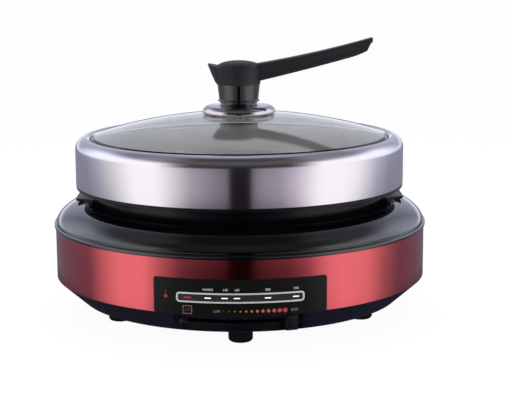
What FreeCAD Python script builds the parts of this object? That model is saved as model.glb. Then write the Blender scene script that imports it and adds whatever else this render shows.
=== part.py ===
import FreeCAD, Part
import math
import os

import Sketcher

# Electric hot pot with a stainless and glass lid, in millimetres.
# The origin is on the table, on the pot's upright axis. +Z is up and the control panel faces -Y.

SIZES = [
    # Base housing
    ("band_radius", 190.0, "outside radius of the coloured band"),
    ("band_wall", 1.0, "sheet thickness of the band"),
    ("band_bottom", 40.0, "height of the band's lower edge above the table"),
    ("band_height", 51.2, "height of the band"),
    ("ground_gap", 17.4, "height of the housing's underside above the table"),
    ("underside_inset", 25.0, "how far the housing tapers in below the band"),
    ("shell_wall", 2.5, "wall of the lower housing"),
    ("opening_inset", 27.0, "distance from the circle of feet in to the underside's opening"),
    ("plate_lap", 7.0, "overlap of the bottom plate on the underside"),
    ("plate_sheet", 1.5, "sheet thickness of the bottom plate"),
    ("vent_length", 34.0, "length of one vent slot"),
    ("vent_width", 5.0, "width of one vent slot"),
    ("vent_circle", 62.0, "radius of the ring of vent slots"),
    ("vent_count", 12, "number of vent slots"),
    # Feet
    ("foot_radius", 11.8, "radius of a foot"),
    ("foot_edge", 2.6, "chamfer round the sole of a foot"),
    ("foot_inset", 32.0, "distance from the underside's edge in to the circle of feet"),
    ("foot_angle", 66.0, "angle from one foot to the next"),
    ("foot_count", 5, "number of feet"),
    ("foot_plug", 9.0, "width of the square plug on top of a foot"),
    # Upper cover
    ("bead_height", 5.3, "height of the bead that caps the band"),
    ("bead_proud", 1.3, "how far the bead stands out from the band"),
    ("crown_inset", 0.8, "step from the band in to the crown"),
    ("crown_height", 19.5, "height of the crown above the bead"),
    ("crown_width", 27.7, "width of the crown from its foot to the well's mouth"),
    ("cover_wall", 2.5, "wall of the upper cover"),
    ("well_wall", 16.0, "height of the cover's inner wall"),
    ("well_ledge", 3.5, "width of the ledge inside the well"),
    # Heat dish
    ("dish_sheet", 0.8, "sheet thickness of the heat dish"),
    ("dish_inset", 4.5, "distance from the well's mouth in to the heat dish"),
    ("dish_height", 44.0, "height of the dish floor above the table"),
    ("dish_lip", 4.2, "width of the lip that hangs the dish on its ledge"),
    ("dish_hole", 9.0, "radius of the sensor hole in the dish"),
    # Tie columns between the bottom plate and the dish
    ("tie_inset", 12.0, "distance from the element's middle in to the tie columns"),
    ("tie_radius", 4.0, "radius across the corners of a tie column"),
    ("tie_bore", 2.3, "radius of a clearance hole for a screw"),
    ("screw_radius", 2.1, "radius of a tie screw"),
    ("head_radius", 4.0, "radius of a screw head"),
    ("head_height", 2.4, "height of a screw head"),
    # Heating element
    ("coil_radius", 92.0, "middle radius of the heating element"),
    ("coil_width", 8.0, "width of the heating element"),
    ("coil_top", 5.0, "width of the flattened top of the element"),
    ("coil_height", 8.0, "height of the heating element"),
    ("coil_gap", 12.0, "half the angle left open between the element's ends"),
    ("leg_radius", 3.0, "radius of an element's cold end"),
    ("bush_radius", 6.0, "radius of a ceramic terminal bush"),
    # Thermostat, sensor and lever
    ("stat_width", 44.0, "width of the thermostat"),
    ("stat_depth", 34.0, "depth of the thermostat"),
    ("stat_height", 9.5, "height of the thermostat"),
    ("boss_radius", 8.4, "radius of the thermostat's guide boss"),
    ("boss_height", 2.0, "height of the guide boss above the dish floor"),
    ("stem_radius", 3.5, "radius of the sensor's stem"),
    ("running_gap", 0.05, "radial clearance of a running fit"),
    ("spindle_step", 1.0, "step from the spindle to its lower end"),
    ("nut_wall", 2.5, "wall of the spindle's nut"),
    ("sensor_radius", 11.0, "radius of the sensor cap"),
    ("sensor_skirt", 1.4, "wall of the sensor cap's skirt"),
    ("sensor_depth", 9.0, "height of the sensor cap"),
    ("stem_grip", 4.0, "length of the stem inside its guide"),
    ("sensor_travel", 3.0, "how far the sensor can be pressed down"),
    ("spring_wall", 1.6, "wall of the sensor spring's envelope"),
    ("spindle_radius", 3.0, "radius of the thermostat's spindle"),
    ("spindle_end", 24.6, "height of the spindle's lower end above the table"),
    ("lever_level", 27.0, "height of the lever's underside above the table"),
    ("lever_sheet", 1.5, "sheet thickness of the lever"),
    ("lever_width", 8.0, "width of the lever"),
    ("hub_radius", 7.0, "radius of the lever's hub"),
    ("lever_travel", 31.0, "angle through which the lever swings"),
    ("slot_room", 1.0, "clearance round the lever in its slot"),
    ("grip_width", 11.5, "width of the lever's grip"),
    ("grip_height", 14.2, "height of the lever's grip"),
    ("grip_depth", 11.5, "depth of the lever's grip"),
    ("grip_edge", 1.5, "rounding of the grip's outer edges"),
    ("grip_base", 20.8, "height of the grip's lower end above the table"),
    # Recess for the lever
    ("recess_angle", 20.0, "half the angle of the lever's recess"),
    ("recess_depth", 24.0, "depth of the recess behind the band's face"),
    ("recess_floor", 19.2, "height of the recess's lower lip"),
    ("recess_roof", 1.8, "thickness of the roof over the recess"),
    # Control panel
    ("panel_angle", 24.6, "half the angle of the control panel"),
    ("panel_height", 33.4, "height of the control panel"),
    ("panel_proud", 0.9, "thickness of the control panel"),
    ("panel_corner", 2.0, "corner radius of the control panel"),
    ("window_angle", 17.8, "half the angle of the scale window"),
    ("window_base", 11.5, "height of the window above the panel's edge"),
    ("window_height", 9.4, "height of the scale window"),
    ("window_rim", 1.5, "width of the window's bright rim"),
    ("rim_proud", 0.4, "how far the bright rim stands out from the panel"),
    ("lamp_angle", 14.6, "angle of the pilot lamp from the panel's middle"),
    ("lamp_width", 7.0, "width of the pilot lamp"),
    ("lamp_height", 1.6, "height of the pilot lamp"),
    ("window_corner", 3.2, "corner radius of the window's rim"),
    # Power inlet
    ("inlet_width", 50.0, "width of the inlet's flange"),
    ("inlet_height", 30.0, "height of the inlet's flange"),
    ("inlet_level", 64.0, "height of the inlet's middle above the table"),
    ("inlet_depth", 24.0, "depth of the inlet's body"),
    ("inlet_body", 28.0, "width of the inlet's body"),
    ("inlet_tall", 20.0, "height of the inlet's body"),
    ("inlet_flange", 3.0, "thickness of the inlet's flange"),
    ("harness_radius", 3.0, "radius of the sleeved wires"),
    ("lead_radius", 1.5, "radius of a lead to the element"),
    ("fuse_radius", 3.5, "radius of the thermal fuse"),
    ("fuse_length", 20.0, "length of the thermal fuse"),
    ("inlet_wall", 2.0, "wall of the inlet's socket"),
    ("inlet_hole_pitch", 40.0, "distance between the inlet's screws"),
    ("pin_pitch", 7.0, "distance of an outer pin from the middle"),
    ("pin_width", 2.0, "width of a pin"),
    ("pin_height", 4.0, "height of a pin"),
    ("pin_lift", 2.0, "height of an outer pin above the middle"),
    ("pin_length", 14.0, "length of a pin in the socket"),
    ("socket_room", 3.0, "room in the socket beyond the pins"),
    # Pan
    ("pan_level", 60.0, "height of the pan's underside above the table"),
    ("pan_wall", 2.5, "wall of the pan"),
    ("pan_floor", 3.0, "thickness of the pan's floor"),
    ("pan_inset", 7.0, "distance from the heat dish in to the pan's mouth"),
    ("pan_draft", 4.0, "slope of the pan's wall in degrees"),
    ("pan_corner", 12.0, "radius inside the pan's corner"),
    ("pan_chamfer", 7.0, "bevel outside the pan's corner"),
    ("rim_width", 18.0, "width of the pan's rim"),
    ("rim_level", 133.8, "height of the lid's seat above the table"),
    ("rim_height", 3.5, "height of the pan's rim"),
    ("rim_step", 2.5, "height of the step that centres the lid"),
    ("seat_gap", 0.3, "clearance between a seat and what rests on it"),
    # Pan ears
    ("ear_width", 18.0, "distance from the pan's mouth out to an ear's edge"),
    ("ear_angle", 11.3, "half the angle of an ear"),
    ("ear_sheet", 2.6, "thickness of an ear's grip"),
    ("ear_root", 12.0, "height of the ear's flange on the pan"),
    ("ear_flange", 2.2, "thickness of the ear's flange"),
    ("rivet_radius", 2.5, "radius of an ear's rivet"),
    ("rivet_angle", 7.0, "angle of a rivet from the ear's middle"),
    # Lid
    ("skirt_lap", 0.2, "how far the lid's skirt stands outside the pan's rim"),
    ("skirt_height", 47.6, "height of the lid's skirt"),
    ("skirt_sheet", 0.8, "sheet thickness of the skirt"),
    ("skirt_shoulder", 12.0, "radius of the skirt's shoulder"),
    ("glass_inset", 15.2, "distance from the skirt's face in to the glass"),
    ("glass_edge", 44.7, "height of the glass's edge above the lid's seat"),
    ("glass_bevel", 2.8, "width of the rounded edge of the glass"),
    ("glass_bevel_rise", 3.4, "height of the rounded edge of the glass"),
    ("glass_rise", 22.0, "rise of the dome"),
    ("glass_wall", 4.0, "thickness of the glass"),
    ("glass_rim", 3.0, "height of the glass's upright rim"),
    ("glass_fall", 1.8, "fall from the skirt's crest to the glass"),
    ("glass_ledge", 6.0, "width of the ledge under the glass"),
    ("gasket_height", 1.2, "thickness of the glass's gasket"),
    ("glass_hole", 5.0, "radius of the hole in the glass"),
    # Knob and handle
    ("knob_radius", 37.5, "radius of the chrome plate"),
    ("knob_edge", 6.8, "radius of the plate's rounded edge"),
    ("knob_lip", 1.7, "height of the plate's upright edge"),
    ("knob_drop", 1.3, "how far the plate's edge hangs below its middle"),
    ("neck_radius", 19.0, "radius of the neck"),
    ("neck_height", 1.2, "height of the neck"),
    ("collar_radius", 21.8, "radius of the gloss collar"),
    ("collar_height", 20.4, "height of the gloss collar"),
    ("bolt_radius", 2.5, "radius of the lid's bolt"),
    ("bolt_grip", 27.0, "length of the bolt inside the collar and head"),
    ("washer_radius", 14.0, "radius of the washer under the glass"),
    ("washer_height", 1.2, "thickness of the washer under the glass"),
    ("head_rim", 24.6, "radius of the handle's head at its rim"),
    ("head_tall", 16.6, "height of the handle's head"),
    ("lip_reach", 31.8, "distance of the head's lip from the axis"),
    ("lip_rise", 4.6, "rise of the lip above the head's rim"),
    ("lip_wall", 1.5, "flat width of the lip's edge"),
    ("arm_root", 16.0, "distance of the arm's root from the axis"),
    ("cap_radius", 21.9, "radius of the handle's cap"),
    ("cap_rise", 6.6, "rise of the cap's dome"),
    ("cap_edge", 1.0, "height of the cap's edge above the head's rim"),
    ("cap_depth", 3.0, "depth of the cap's socket"),
    ("arm_reach", 137.0, "distance of the arm's tip from the axis"),
    ("arm_root_width", 23.0, "width of the arm at its root"),
    ("arm_tip_width", 17.0, "width of the arm at its tip"),
    ("arm_root_height", 18.6, "height of the arm's section at its root"),
    ("arm_tip_height", 13.4, "height of the arm's section at its tip"),
    ("arm_root_drop", 5.3, "drop of the root's middle below the head's rim"),
    ("arm_tip_rise", 24.3, "rise of the tip's middle above the head's rim"),
    ("arm_sag", 2.1, "sag of the arm's line below a straight one"),
    ("arm_slant", 6.5, "how far the arm's end slants back"),
    ("arm_corner", 3.0, "corner radius of the arm's section"),
]

doc = FreeCAD.newDocument("hot_pot")
sheet = doc.addObject("Spreadsheet::Sheet", "Sizes")


class Size:
    """A number with the sheet expression that it comes from."""

    def __init__(self, value, text):
        self.value = float(value)
        self.text = text

    def __add__(self, other):
        other = as_size(other)
        return Size(self.value + other.value, f"({self.text} + {other.text})")

    def __sub__(self, other):
        other = as_size(other)
        return Size(self.value - other.value, f"({self.text} - {other.text})")

    def __rsub__(self, other):
        return as_size(other) - self

    def __mul__(self, other):
        other = as_size(other)
        return Size(self.value * other.value, f"({self.text} * {other.text})")

    def __truediv__(self, other):
        other = as_size(other)
        return Size(self.value / other.value, f"({self.text} / {other.text})")

    def __neg__(self):
        return Size(-self.value, f"(0 - {self.text})")

    __radd__ = __add__
    __rmul__ = __mul__


def as_size(number):
    """Take a plain number as a size."""
    if isinstance(number, Size):
        return number
    return Size(number, repr(float(number)))


def root_of(size):
    """Square root of a size."""
    return Size(math.sqrt(size.value), f"sqrt({size.text})")


def sine_of(size):
    """Sine of an angle in degrees."""
    return Size(math.sin(math.radians(size.value)), f"sin({size.text})")


def cosine_of(size):
    """Cosine of an angle in degrees."""
    return Size(math.cos(math.radians(size.value)), f"cos({size.text})")


def tangent_of(size):
    """Tangent of an angle in degrees."""
    return Size(math.tan(math.radians(size.value)), f"tan({size.text})")


def fill_sheet():
    """Write the driving sizes to the sheet and return them by name."""
    named = {}
    for row, (alias, value, meaning) in enumerate(SIZES, start=1):
        sheet.set(f"A{row}", alias)
        sheet.set(f"B{row}", str(value))
        sheet.set(f"C{row}", meaning)
        sheet.setAlias(f"B{row}", alias)
        named[alias] = Size(value, f"Sizes.{alias}")
    doc.recompute()
    return named


class Names:
    """The sizes as attributes."""

    def __init__(self, named):
        self.__dict__.update(named)


s = Names(fill_sheet())
nodes = []


# Helpers for bodies, sketches and features


def new_body(label):
    """Start the body of one sub-part."""
    body = doc.addObject("PartDesign::Body", label)
    body.Label = label
    body.AllowCompound = True
    nodes.append(body)
    return body


def origin_feature(body, role):
    """Find an origin plane or axis of a body."""
    return next(item for item in body.Origin.OriginFeatures if item.Role == role)


def sketch_on(body, name, role="XZ_Plane", offset=None):
    """Attach a sketch to an origin plane, moved along its normal by an offset."""
    sketch = body.newObject("Sketcher::SketchObject", name)
    sketch.AttachmentSupport = (origin_feature(body, role), [""])
    sketch.MapMode = "FlatFace"
    if offset is not None:
        sketch.setExpression("AttachmentOffset.Base.z", as_size(offset).text)
    return sketch


def bind_datum(sketch, constraint, name, size):
    """Add a constraint and bind its value to the sheet."""
    index = sketch.addConstraint(constraint)
    sketch.renameConstraint(index, name)
    if "Sizes." in size.text:
        sketch.setExpression(f"Constraints.{name}", size.text)


def pin_point(sketch, edge, end, name, across, up):
    """Hold a point of the sketch at a place given by two sizes."""
    for kind, axis, word, size in (("DistanceX", -2, "across", across), ("DistanceY", -1, "up", up)):
        size = as_size(size)
        if size.text == "0.0":
            sketch.addConstraint(Sketcher.Constraint("PointOnObject", edge, end, axis))
            continue
        constraint = Sketcher.Constraint(kind, -1, 1, edge, end, size.value)
        bind_datum(sketch, constraint, f"{name}_{word}", size)


def arc_through(start, end, radius):
    """Make the short arc between two points; a positive radius turns left."""
    chord = end - start
    half = chord.Length / 2
    size = max(abs(radius), half * 1.000001)
    left = FreeCAD.Vector(-chord.y, chord.x, 0).normalize()
    side = 1 if radius > 0 else -1
    centre = (start + end) / 2 + left * side * math.sqrt(size * size - half * half)
    middle = centre - left * side * size
    return Part.Arc(start, middle, end)


def outline(sketch, corners, closed=True):
    """Draw lines and arcs whose corners follow the sheet, closed unless it is a path.

    A corner is (across, up) at the end of a line, or (across, up, radius) at the end of an arc.
    """
    places = [FreeCAD.Vector(as_size(c[0]).value, as_size(c[1]).value, 0) for c in corners]
    count = len(corners)
    ends = {}
    for number in range(0 if closed else 1, count):
        corner = corners[number]
        start = places[number - 1]
        if len(corner) == 3:
            radius = as_size(corner[2])
            edge = sketch.addGeometry(arc_through(start, places[number], radius.value), False)
            turns_left = radius.value > 0
            ends[number] = (edge, 1, 2) if turns_left else (edge, 2, 1)
            size = radius if turns_left else -radius
            bind_datum(sketch, Sketcher.Constraint("Radius", edge, size.value), f"radius_{number}", size)
        else:
            edge = sketch.addGeometry(Part.LineSegment(start, places[number]), False)
            ends[number] = (edge, 1, 2)
    if not closed:
        edge, begin, _ = ends[1]
        pin_point(sketch, edge, begin, "corner_0", corners[0][0], corners[0][1])
    for number, (edge, _, finish) in ends.items():
        following = ends.get((number + 1) % count)
        if following:
            sketch.addConstraint(Sketcher.Constraint("Coincident", edge, finish, following[0], following[1]))
        pin_point(sketch, edge, finish, f"corner_{number}", corners[number][0], corners[number][1])


def circle(sketch, name, across, up, radius):
    """Draw a circle whose centre and radius follow the sheet."""
    across, up, radius = as_size(across), as_size(up), as_size(radius)
    centre = FreeCAD.Vector(across.value, up.value, 0)
    edge = sketch.addGeometry(Part.Circle(centre, FreeCAD.Vector(0, 0, 1), radius.value), False)
    bind_datum(sketch, Sketcher.Constraint("Radius", edge, radius.value), f"{name}_radius", radius)
    pin_point(sketch, edge, 3, name, across, up)


def rectangle(sketch, left, bottom, right, top):
    """Draw a rectangle whose sides follow the sheet."""
    outline(sketch, [(right, bottom), (right, top), (left, top), (left, bottom)])


def upright_axis(sketch, across):
    """Draw a construction line parallel to the upright axis and return its reference."""
    across = as_size(across)
    head = s.ground_gap
    line = Part.LineSegment(FreeCAD.Vector(across.value, 0, 0), FreeCAD.Vector(across.value, head.value, 0))
    edge = sketch.addGeometry(line, True)
    pin_point(sketch, edge, 1, "axis_foot", across, 0)
    pin_point(sketch, edge, 2, "axis_head", across, head)
    return (sketch, ["Axis0"])


def revolve(body, name, sketch, axis=None, angle=None, cut=False):
    """Turn a sketch about an axis, whole or through an angle to both sides."""
    kind = "PartDesign::Groove" if cut else "PartDesign::Revolution"
    feature = body.newObject(kind, name)
    feature.Profile = sketch
    feature.ReferenceAxis = axis or (sketch, ["V_Axis"])
    feature.Angle = 360
    if angle is not None:
        feature.Midplane = True
        feature.setExpression("Angle", as_size(angle).text)
    return feature


def pad(body, name, sketch, length, both_ways=False, back=False):
    """Extrude a sketch."""
    feature = body.newObject("PartDesign::Pad", name)
    feature.Profile = sketch
    feature.setExpression("Length", as_size(length).text)
    if both_ways:
        feature.SideType = "Symmetric"
    feature.Reversed = back
    return feature


def pocket(body, name, sketch, length, both_ways=False, back=False):
    """Cut a sketch into the body."""
    feature = body.newObject("PartDesign::Pocket", name)
    feature.Profile = sketch
    feature.setExpression("Length", as_size(length).text)
    if both_ways:
        feature.SideType = "Symmetric"
    feature.Reversed = back
    return feature


def around(body, name, feature, count, angle=360):
    """Repeat a feature about the upright axis and make the pattern the body's tip."""
    pattern = body.newObject("PartDesign::PolarPattern", name)
    pattern.Originals = [feature]
    pattern.Axis = (origin_feature(body, "Z_Axis"), [""])
    pattern.setExpression("Angle", as_size(angle).text)
    pattern.setExpression("Occurrences", as_size(count).text)
    body.Tip = pattern
    return pattern


def turn(body, angle):
    """Turn a finished body about the upright axis."""
    body.Placement = FreeCAD.Placement(FreeCAD.Vector(), FreeCAD.Rotation(FreeCAD.Vector(0, 0, 1), 0))
    body.setExpression("Placement.Rotation.Angle", as_size(angle).text)


# Radii that follow the band

bead_radius = s.band_radius + s.bead_proud
crown_radius = s.band_radius - s.crown_inset
crest_radius = crown_radius - s.crown_width
ledge_radius = crest_radius - s.well_ledge
underside_radius = s.band_radius - s.underside_inset
foot_circle = underside_radius - s.foot_inset
vent_opening = foot_circle - s.opening_inset
recess_radius = s.band_radius - s.recess_depth
dish_radius = crest_radius - s.dish_inset
pan_mouth = dish_radius - s.pan_inset
rim_radius = pan_mouth + s.rim_width
ear_reach = pan_mouth + s.ear_width
skirt_radius = rim_radius + s.skirt_lap
glass_radius = skirt_radius - s.glass_inset
stub_radius = s.spindle_radius - s.spindle_step

# Heights and angles that several pieces share

band_top = s.band_bottom + s.band_height
bead_top = band_top + s.bead_height
crest_level = bead_top + s.crown_height
ledge_level = crest_level - s.well_wall
floor_level = s.ground_gap + s.shell_wall
plate_under = s.ground_gap - s.plate_sheet
dish_top = s.dish_height + s.dish_sheet
right_angle = 90.0
full_turn = right_angle * 4
front = -right_angle
lever_rest = s.lever_travel / 2
tie_count = 3
tie_circle = s.coil_radius - s.tie_inset
per_radian = right_angle * 2 / math.pi
foot_spread = s.foot_angle * (s.foot_count - 1)


# Base housing


def make_base_shell():
    """Lower housing: a tapered tub with the lever's recess sunk into its front."""
    body = new_body("base_shell")
    section = sketch_on(body, "tub_section")
    inner_top = s.band_radius - s.shell_wall - s.band_wall
    inner_foot = underside_radius - s.shell_wall
    outline(section, [
        (vent_opening, s.ground_gap),
        (underside_radius, s.ground_gap),
        (s.band_radius, s.band_bottom),
        (inner_top, s.band_bottom),
        (inner_foot, floor_level),
        (vent_opening, floor_level),
    ])
    revolve(body, "tub", section)
    doc.recompute()

    # Housing around the recess, behind the tapered wall
    wall_back = recess_radius - s.shell_wall
    block = sketch_on(body, "recess_block_section")
    outline(block, [
        (wall_back, floor_level),
        (underside_radius, floor_level),
        (inner_top + s.band_wall, s.band_bottom),
        (wall_back, s.band_bottom),
    ])
    half = s.recess_angle + s.shell_wall / recess_radius * per_radian
    revolve(body, "recess_block", block, angle=half * 2)
    doc.recompute()

    roof = s.band_bottom - s.recess_roof
    recess = sketch_on(body, "recess_section")
    outline(recess, [
        (recess_radius, s.recess_floor),
        (bead_radius, s.recess_floor),
        (bead_radius, roof),
        (recess_radius, roof),
    ])
    revolve(body, "recess", recess, angle=s.recess_angle * 2, cut=True)
    doc.recompute()

    # Slot for the lever, from inside the taper's foot out through the recess's back wall
    slot_angle = s.lever_travel + (s.lever_width + s.slot_room * 3) / recess_radius * per_radian
    slot = sketch_on(body, "lever_slot_section")
    slot_foot, slot_top = s.lever_level - s.slot_room, s.lever_level + s.lever_sheet + s.slot_room
    rectangle(slot, inner_foot - s.slot_room, slot_foot, bead_radius, slot_top)
    revolve(body, "lever_slot", slot, angle=slot_angle, cut=True)
    doc.recompute()

    hole = sketch_on(body, "foot_hole", "XY_Plane", floor_level)
    first = -(foot_spread / 2)
    half = s.foot_plug / 2 + s.running_gap
    away, aside = cosine_of(first), sine_of(first)
    corners = ((-half, -half), (half, -half), (half, half), (-half, half))
    outline(hole, [
        ((foot_circle + x) * away - y * aside, (foot_circle + x) * aside + y * away)
        for x, y in corners
    ])
    drilled = pocket(body, "foot_cut", hole, s.shell_wall)
    doc.recompute()
    around(body, "foot_holes", drilled, s.foot_count, foot_spread)
    # The section lies on +X, and the recess faces the front
    turn(body, front)
    return body


def make_red_band():
    """Sheet band that forms the wall of the base, with the inlet's cut-out at the rear."""
    body = new_body("red_band")
    section = sketch_on(body, "band_section")
    rectangle(section, s.band_radius - s.band_wall, s.band_bottom, s.band_radius, band_top)
    revolve(body, "band", section)
    doc.recompute()
    window = sketch_on(body, "inlet_window", "XZ_Plane", -bead_radius)
    half_wide = s.inlet_body / 2 + s.seat_gap
    half_tall = s.inlet_tall / 2 + s.seat_gap
    rectangle(window, -half_wide, s.inlet_level - half_tall, half_wide, s.inlet_level + half_tall)
    cut = pocket(body, "inlet_cut", window, s.inlet_depth, back=True)
    doc.recompute()
    for side, name in ((-1, "left"), (1, "right")):
        hole = sketch_on(body, f"inlet_hole_{name}", "XZ_Plane", -bead_radius)
        circle(hole, "hole", s.inlet_hole_pitch / 2 * side, s.inlet_level, s.tie_bore)
        cut = pocket(body, f"inlet_drill_{name}", hole, s.inlet_depth, back=True)
        doc.recompute()
    body.Tip = cut
    return body


def shoulder(across, up, wide, tall, steps):
    """Corners of a quarter ellipse from its side, at (across + wide, up), to its crest."""
    corners = []
    for step in range(1, steps + 1):
        turned = math.radians(right_angle * step / steps)
        corners.append((across + wide * round(math.cos(turned), 6), up + tall * round(math.sin(turned), 6)))
    return corners


def make_upper_cover():
    """Glossy crown over the base, from the bead on the band to the well's mouth."""
    body = new_body("upper_cover")
    section = sketch_on(body, "cover_section")
    inner_face = crest_radius + s.cover_wall
    underside = crest_level - s.cover_wall
    lining = s.band_radius - s.band_wall - s.shell_wall
    corners = [
        (lining, band_top),
        (bead_radius, band_top),
        (bead_radius, bead_top),
        (crown_radius, bead_top),
    ]
    corners += shoulder(crest_radius, bead_top, s.crown_width, s.crown_height, 4)
    corners += [
        (crest_radius, ledge_level),
        (ledge_radius, ledge_level),
        (ledge_radius, ledge_level - s.cover_wall),
        (inner_face, ledge_level - s.cover_wall),
        (inner_face, underside),
        (lining, bead_top),
    ]
    outline(section, corners)
    revolve(body, "cover", section)
    return body


def make_bottom_plate():
    """Vented plate that closes the underside and is held up by the tie screws."""
    body = new_body("bottom_plate")
    disc = sketch_on(body, "disc", "XY_Plane", s.ground_gap)
    circle(disc, "rim", 0.0, 0.0, vent_opening + s.plate_lap)
    pad(body, "sheet", disc, s.plate_sheet, back=True)
    doc.recompute()
    slot = sketch_on(body, "vent", "XY_Plane", s.ground_gap)
    near, far = s.vent_circle - s.vent_length / 2, s.vent_circle + s.vent_length / 2
    rectangle(slot, near, -s.vent_width / 2, far, s.vent_width / 2)
    first = pocket(body, "vent_cut", slot, s.plate_sheet)
    doc.recompute()
    around(body, "vent_ring", first, s.vent_count)
    doc.recompute()
    # The tie holes lie half a pitch from the vents
    lean = as_size(right_angle * 2) / s.vent_count
    hole = sketch_on(body, "tie_hole", "XY_Plane", s.ground_gap)
    circle(hole, "hole", tie_circle * cosine_of(lean), tie_circle * sine_of(lean), s.tie_bore)
    drilled = pocket(body, "tie_drill", hole, s.plate_sheet)
    doc.recompute()
    around(body, "tie_ring", drilled, tie_count)
    turn(body, -lean)
    return body


def make_feet():
    """Five feet, each with a plug that sits in a hole of the housing's floor."""
    body = new_body("rubber_feet")
    section = sketch_on(body, "foot_section")
    middle = foot_circle
    axis = upright_axis(section, middle)
    outline(section, [
        (middle, 0.0),
        (middle + s.foot_radius - s.foot_edge, 0.0),
        (middle + s.foot_radius, s.foot_edge),
        (middle + s.foot_radius, s.ground_gap),
        (middle, s.ground_gap),
    ])
    foot = revolve(body, "foot", section, axis=axis)
    doc.recompute()
    plug_end = sketch_on(body, "plug_end", "XY_Plane", s.ground_gap)
    half = s.foot_plug / 2
    rectangle(plug_end, middle - half, -half, middle + half, half)
    plug = pad(body, "plug", plug_end, s.shell_wall)
    doc.recompute()
    ring = around(body, "foot_ring", foot, s.foot_count, foot_spread)
    ring.Originals = [foot, plug]
    turn(body, front - foot_spread / 2)
    return body


def hexagon(sketch, centre, radius):
    """Hexagon about a point on the sketch's first axis."""
    corners = []
    for step in range(6):
        turned = math.radians(full_turn * step / 6)
        corners.append((centre + radius * round(math.cos(turned), 6), radius * round(math.sin(turned), 6)))
    outline(sketch, corners)


def make_tie_screws():
    """Three screws below the bottom plate that hold it up to the tie columns."""
    body = new_body("tie_screws")
    top = sketch_on(body, "head_top", "XY_Plane", plate_under)
    hexagon(top, tie_circle, s.head_radius)
    head = pad(body, "head", top, s.head_height, back=True)
    doc.recompute()
    end = sketch_on(body, "shank_end", "XY_Plane", plate_under)
    circle(end, "shank", tie_circle, 0.0, s.screw_radius)
    shank = pad(body, "shank", end, s.plate_sheet)
    doc.recompute()
    ring = around(body, "screw_ring", head, tie_count)
    ring.Originals = [head, shank]
    return body


def make_tie_columns():
    """Three hexagonal columns that carry the heat dish above the bottom plate."""
    body = new_body("tie_columns")
    foot = sketch_on(body, "column_end", "XY_Plane", s.ground_gap)
    hexagon(foot, tie_circle, s.tie_radius)
    column = pad(body, "column", foot, s.dish_height - s.ground_gap)
    doc.recompute()
    stud = sketch_on(body, "stud_end", "XY_Plane", s.dish_height)
    circle(stud, "stud", tie_circle, 0.0, s.screw_radius)
    stem = pad(body, "stud", stud, s.dish_sheet + s.plate_sheet)
    doc.recompute()
    ring = around(body, "column_ring", column, tie_count)
    ring.Originals = [column, stem]
    return body


def make_tie_nuts():
    """Cap nuts on the columns' studs, above the element's brackets."""
    body = new_body("tie_nuts")
    end = sketch_on(body, "nut_end", "XY_Plane", dish_top + s.plate_sheet)
    hexagon(end, tie_circle, s.tie_radius)
    nut = pad(body, "nut", end, s.head_height)
    doc.recompute()
    around(body, "nut_ring", nut, tie_count)
    return body


# Heat dish and heating element


def make_dish():
    """Sheet dish that lines the well and hangs by its lip on the cover's ledge."""
    body = new_body("heat_dish")
    section = sketch_on(body, "dish_section")
    inside = dish_radius - s.dish_sheet
    lip = inside + s.dish_lip
    outline(section, [
        (s.dish_hole, s.dish_height),
        (dish_radius, s.dish_height),
        (dish_radius, ledge_level),
        (lip, ledge_level),
        (lip, ledge_level + s.dish_sheet),
        (inside, ledge_level + s.dish_sheet),
        (inside, dish_top),
        (s.dish_hole, dish_top),
    ])
    revolve(body, "dish", section)
    doc.recompute()
    hole = sketch_on(body, "tie_hole", "XY_Plane", s.dish_height)
    circle(hole, "hole", tie_circle, 0.0, s.tie_bore)
    drilled = pocket(body, "tie_drill", hole, s.dish_sheet * 2, back=True)
    doc.recompute()
    around(body, "tie_ring", drilled, tie_count)
    doc.recompute()
    for side, name in ((-1, "left"), (1, "right")):
        hole = sketch_on(body, f"leg_hole_{name}", "XY_Plane", s.dish_height)
        angle = s.coil_gap * side
        across, up = s.coil_radius * sine_of(angle), s.coil_radius * cosine_of(angle)
        circle(hole, "hole", across, up, s.bush_radius + s.running_gap)
        last = pocket(body, f"leg_drill_{name}", hole, s.dish_sheet * 2, back=True)
        doc.recompute()
    body.Tip = last
    return body


coil_upper = s.pan_level - s.seat_gap
coil_lower = coil_upper - s.coil_height


def make_element():
    """Flat-topped ring element with two cold ends that pass down through the dish."""
    body = new_body("heating_element")
    section = sketch_on(body, "element_section")
    half = s.coil_width / 2
    top_half = s.coil_top / 2
    outline(section, [
        (s.coil_radius + top_half, coil_lower),
        (s.coil_radius + half, coil_lower + s.coil_height / 2),
        (s.coil_radius + top_half, coil_upper),
        (s.coil_radius - top_half, coil_upper),
        (s.coil_radius - half, coil_lower + s.coil_height / 2),
        (s.coil_radius - top_half, coil_lower),
    ])
    last = revolve(body, "ring", section, angle=full_turn - s.coil_gap * 2)
    doc.recompute()
    for side, name in ((-1, "left"), (1, "right")):
        foot = sketch_on(body, f"leg_{name}", "XY_Plane", s.dish_height - s.coil_height)
        angle = s.coil_gap * side
        circle(foot, "leg", -s.coil_radius * cosine_of(angle), s.coil_radius * sine_of(angle), s.leg_radius)
        last = pad(body, f"cold_end_{name}", foot, coil_lower - s.dish_height + s.coil_height * 7 / 4)
        doc.recompute()
    body.Tip = last
    # The gap between the ends faces the rear
    turn(body, front)
    return body


def make_bushes():
    """Ceramic bushes that insulate the element's cold ends in the dish."""
    body = new_body("terminal_bushes")
    for side, name in ((-1, "left"), (1, "right")):
        foot = sketch_on(body, f"bush_{name}", "XY_Plane", s.dish_height - s.coil_height / 2)
        angle = s.coil_gap * side
        across, up = s.coil_radius * sine_of(angle), s.coil_radius * cosine_of(angle)
        circle(foot, "outside", across, up, s.bush_radius)
        circle(foot, "inside", across, up, s.leg_radius + s.running_gap)
        last = pad(body, f"bush_tube_{name}", foot, coil_lower - s.dish_height + s.coil_height / 2)
        doc.recompute()
    body.Tip = last
    return body


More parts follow.
